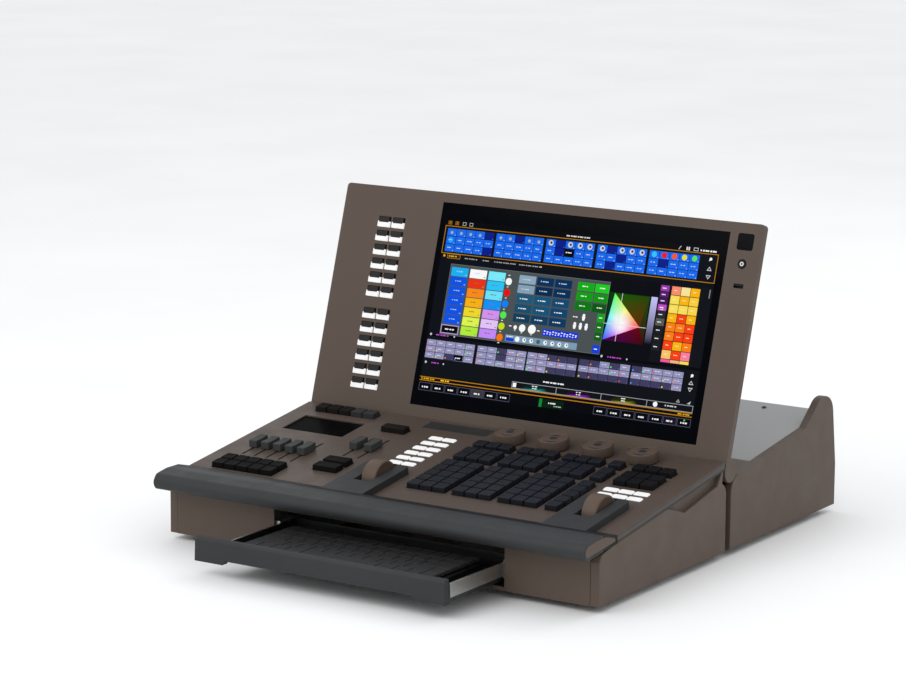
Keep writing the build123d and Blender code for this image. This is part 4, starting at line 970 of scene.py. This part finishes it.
def colour_picker():
    """Colour triangle on its dim square, with cross lines and a slider."""
    tile(265.8, 72.2, 71.2, 98.2, "#0a0b10", 1)
    left, right, top, bottom = 267, 324.6, 90.6, 151.4
    shape([(left, top), (right, top), (right, bottom), (left, bottom)],
          [[0.0, 0.05, 0.0, 1], [0.0, 0.07, 0.0, 1], [0.05, 0.0, 0.0, 1], [0.0, 0.0, 0.03, 1]], 2)
    shape([(274.2, 91.3), (324, 91.3), (316.3, 130)],
          [[0.0, 0.1, 0.0, 1], [0.02, 0.06, 0.0, 1], [0.12, 0.02, 0.0, 1]], 3)
    shape([(316.3, 130), (324, 151), (266.6, 151.2)],
          [[0.14, 0.0, 0.0, 1], [0.06, 0.0, 0.0, 1], [0.05, 0.0, 0.08, 1]], 3)
    for i in range(GAMUT_STEPS):
        for j in range(GAMUT_STEPS - i):
            cells = [((i, j), (i + 1, j), (i, j + 1))]
            if i + j < GAMUT_STEPS - 1:
                cells.append(((i + 1, j), (i + 1, j + 1), (i, j + 1)))
            for cell in cells:
                weights = [(a / GAMUT_STEPS, b / GAMUT_STEPS, 1 - (a + b) / GAMUT_STEPS) for a, b in cell]
                points = [[sum(w * corner[axis] for w, corner in zip(weight, GAMUT_CORNERS))
                           for axis in (0, 1)] for weight in weights]
                shape(points, [whiten(point, gamut_colour(weight))
                               for point, weight in zip(points, weights)], 4)
    tile(284.95, 90.4, 0.7, 61, "#e6e6e6", 5)
    tile(264.8, 129.9, 60.8, 0.7, "#e6e6e6", 5)
    light, dark = linear("#c9c9ff"), linear("#07071c")
    shape([(326.6, 90.5), (335.6, 90.5), (335.6, 149.4), (326.6, 149.4)],
          [light, light, dark, dark], 2)


def warm_grid():
    """Purple buttons and the grid of warm tiles at the right."""
    tile(337, 72.2, 73, 98.2, "#101318", 1)
    buttons = ("#a03cb4", "#5a1e6e", "#46145a", "#c04ccc", "#2a2b30", "#5b5d58") + ("#1e1f24",) * 3
    heights = (8, 8, 8, 8.6, 9, 10, 10.4, 10.4, 10.4)
    top = 74.4
    for colour, height in zip(buttons, heights):
        button(337.6, top, 12, height - 0.8, colour, (6, height / 2 - 0.4, 7), line=1.1)
        top += height
    triangle(343.6, 103.6, 2.4, WHITE)
    salmon, pale, amber, orange, red, pink = "#ff9070", "#ffe45a", "#ffb90a", "#ff8214", "#ff420f", "#ff82a0"
    grid = ((salmon, "#ffe89a", amber), (pale, amber, "#ffd23c"), (pale, pale, "#ffd950"),
            (amber, red, amber), (orange, orange, red), (orange, red, red), (red, amber, orange),
            ("#ffc86e", red, pink))
    for row, colours in enumerate(grid):
        for column, colour in enumerate(colours):
            button(353.2 + 13.4 * column, 74.4 + 11.4 * row, 12.7, 10.6, colour, (6.2, 5, 5.4),
                   "#fff0c0", 1)
    for column, colour in enumerate(("#ff5aa0", "#ffb48c", "#ffe650")):
        tile(353.2 + 13.4 * column, 165.6, 12.7, 3.6, colour, 2)
    tile(405.6, 73.6, 1.4, 10.8, "#8b8f96", 2)


def lower_band():
    """Five groups of lavender tiles, some dark, with small status dots."""
    empties = ("22", "20 21", "20 30 40 22 32 42", "00 10 02 12 22 32 42 30", "00 02 12 22 32")
    sparks = ("#ff3c3c", "#46a0ff", "#ffe632", "#5aff78", "#ff8c28")
    top, width, height = 178.4, 73.6, 24.4
    pitch = width / TILE_COLUMNS
    for group, (x, empty) in enumerate(zip((10, 87.5, 162.8, 239.2, 315), empties)):
        tile_group(x, top, width, height, LAVENDER, empty, DUSK)
        for i in range(9):
            column, row = (i * 3 + group) % TILE_COLUMNS, (i * 2 + group) % TILE_ROWS
            disc(x + 2.2 + column * 14.7, top + row * 8.1 + 5.6, 1.1, sparks[(i + group) % 5], 4, steps=8)
    black = 10 + 3 * pitch + 0.4
    tile(black, 194.8, 13.6, 7.4, BLACK, 4)
    caption(black + 6.6, 198.6, 9, WHITE, 5, 1.3)
    for x, y, label, length, end in ((14.2, 171.8, 32, 20, 50), (269.6, 171.8, 288, 20, 306),
                                     (13.4, 208.4, 28, 12, 40.4)):
        disc(x, y, 1.6, "#d0d0d0", 2, steps=12)
        caption(label, y, length, "#c850d2", 2, 1.5)
        disc(end, y, 1.2, "#cfcfcf", 2, steps=10)
    side_icons(400.6, (181.4, 190.4, 199))


def encoder_row():
    """White-framed row for the encoders, with coloured half discs."""
    caption(208, 213.6, 32, WHITE, 2, 1.8)
    border(146.9, 218.2, 262, 8.8, "#a9abb2", 0.7)
    for x in (212.4, 277.8, 343.4):
        tile(x, 218.2, 0.8, 8.8, "#a9abb2", 2)
    for x, colour in ((181, "#1fb0a6"), (245.8, "#9a36cc"), (311, "#a8a814")):
        middle = [linear(colour)] + [shaded(linear(colour), 0.05)] * 17
        points = [(x, 226.2)] + [(x + 19 * cos(radians(a)), 226.2 + 6.6 * sin(radians(a)))
                                 for a in (180 + 180 * i / 16 for i in range(17))]
        shape(points, middle, 1.5)
        for y, width in ((221, 8), (223.8, 7)):
            caption(x, y, width, WHITE, 3, 1.2)
    tile(148.6, 219.8, 5, 5.4, WHITE, 3)
    disc(355.9, 222.4, 3.2, WHITE)
    caption(378, 222.2, 17, "#d9d9d9", 3, 1.6)
    triangle(386.8, 214.4, 2.6, "#cccccc", True, 2)
    fill([(399, 217), (404.6, 213), (403.4, 217.4), (401.6, 216.6)], "#cccccc", 2)
    for y in (227.2, 231.6):
        tile(8.5, y, 400.5, 1.1, ORANGE, 2)
    caption(21, 229.8, 20, "#f0b41e", 3, 1.6)
    caption(47, 229.8, 13, "#ffd23c", 3, 1.8)
    caption(398, 230, 18, "#f0b41e", 3, 1.5)


def soft_keys():
    """Seven framed softkeys at each end of the bottom row."""
    pitch = 19.9
    for start, marked, mark in ((9, 4, "#3a3b42"), (270.6, 5, "#1c1222")):
        for i in range(7):
            x = start + pitch * i
            colour = mark if i == marked else BLACK
            tile(x, 235, pitch - 1, 10.2, colour, 2)
            border(x, 235, pitch - 1, 10.2, LINE_GREY, 0.6, 3)
            caption(x + pitch / 2 - 0.5, 240.6, 9.4, WHITE, 4, 1.9)
    disc(399.6, 237.2, 1.1, "#5ae65a", 4, steps=10)
    tile(190.8, 235, 4.4, 10.4, "#0d8a32", 2)
    tile(195.2, 235, 31.6, 10.4, "#06200f", 2)
    caption(210.4, 239.4, 12, WHITE, 3, 1.7)
    caption(219, 242.6, 12, "#bfd8c4", 3, 1.2)


tile(7.6, 21.6, 403.6, 225, BLACK, 0.6)
header()
top_band()
tile(9.6, 66.2, 400, 105, NIGHT, 0.8)
workspace()
colour_picker()
warm_grid()
tile(9.6, 174.6, 400, 51.6, "#0d1116", 0.8)
lower_band()
encoder_row()
soft_keys()
mesh = bpy.data.meshes.new("screen_picture")
mesh.from_pydata(shape_points, [], shape_faces)
paint = mesh.color_attributes.new("Picture", "FLOAT_COLOR", "CORNER")
paint.data.foreach_set("color", [part for colour in shape_colours for part in colour])
mesh.materials.append(picture("screen_picture_light", 1.0))
screen_picture = show(bpy.data.objects.new("screen_picture", mesh))
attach(screen_picture, body_of["display_glass"])


# ---- floor, light and camera
FLOOR_RADIUS = 30
floor_build = bmesh.new()
bmesh.ops.create_circle(floor_build, cap_ends=True, segments=96, radius=FLOOR_RADIUS)
floor_mesh = bpy.data.meshes.new("floor")
floor_build.to_mesh(floor_mesh)
floor_build.free()
floor = show(bpy.data.objects.new("floor", floor_mesh))
floor_shader = Shader("pale_floor", 0.6, specular=0.2)
floor_shader.colour(floor_shader.blend(floor_shader.spread(floor_shader.noise(2.5, 4), 0, 1),
                                       [0.9, 0.9, 0.9, 1], [0.94, 0.94, 0.94, 1]))
floor_mesh.materials.append(floor_shader.material)
floor.location = (0, 0, cad_low.z - 0.0005)

world = bpy.data.worlds.new("studio")
bpy.context.scene.world = world
world.use_nodes = True
sky = world.node_tree.nodes["Background"].inputs
sky["Color"].default_value = (0.97, 0.985, 1.0, 1)
sky["Strength"].default_value = 0.95

centre = (cad_low + cad_high) / 2
SPAN = (cad_high - cad_low).length


def bearing(azimuth, elevation):
    """Direction from the desk, with azimuth 0 in front of it."""
    a, e = radians(azimuth), radians(elevation)
    return Vector((sin(a) * cos(e), -cos(a) * cos(e), sin(e)))


def panel_light(name, azimuth, elevation, distance, size, power):
    """Square soft light that faces the desk."""
    back = bearing(azimuth, elevation)
    lamp = bpy.data.lights.new(name, "AREA")
    lamp.shape = "SQUARE"
    lamp.size = size * SPAN
    lamp.energy = power
    light = show(bpy.data.objects.new(name, lamp))
    light.rotation_mode = "QUATERNION"
    light.rotation_quaternion = (-back).to_track_quat("-Z", "Y")
    light.location = centre + back * distance * SPAN


panel_light("key_light", -20, 42, 2.6, 1.6, 20)
panel_light("rear_light", 160, 40, 2.8, 1.4, 12)

CAMERA_AZIMUTH, CAMERA_ELEVATION, CAMERA_ROLL = 32.98, 11.235, 0.359
CAMERA_DISTANCE, CAMERA_RIGHT, CAMERA_UP = 4.07, -0.03956, 0.03355
LENS, SENSOR = 129.75, 36
look = -bearing(CAMERA_AZIMUTH, CAMERA_ELEVATION)
aim = look.to_track_quat("-Z", "Y").to_matrix() @ Matrix.Rotation(radians(CAMERA_ROLL), 3, "Z")
camera = show(bpy.data.objects.new("camera", bpy.data.cameras.new("camera")))
camera.data.lens = LENS
camera.data.sensor_width = SENSOR
camera.matrix_world = Matrix.Translation(
    centre + aim @ Vector((CAMERA_RIGHT, CAMERA_UP, CAMERA_DISTANCE))) @ aim.to_4x4()
bpy.context.scene.camera = camera
bpy.context.scene.view_settings.view_transform = "Standard"
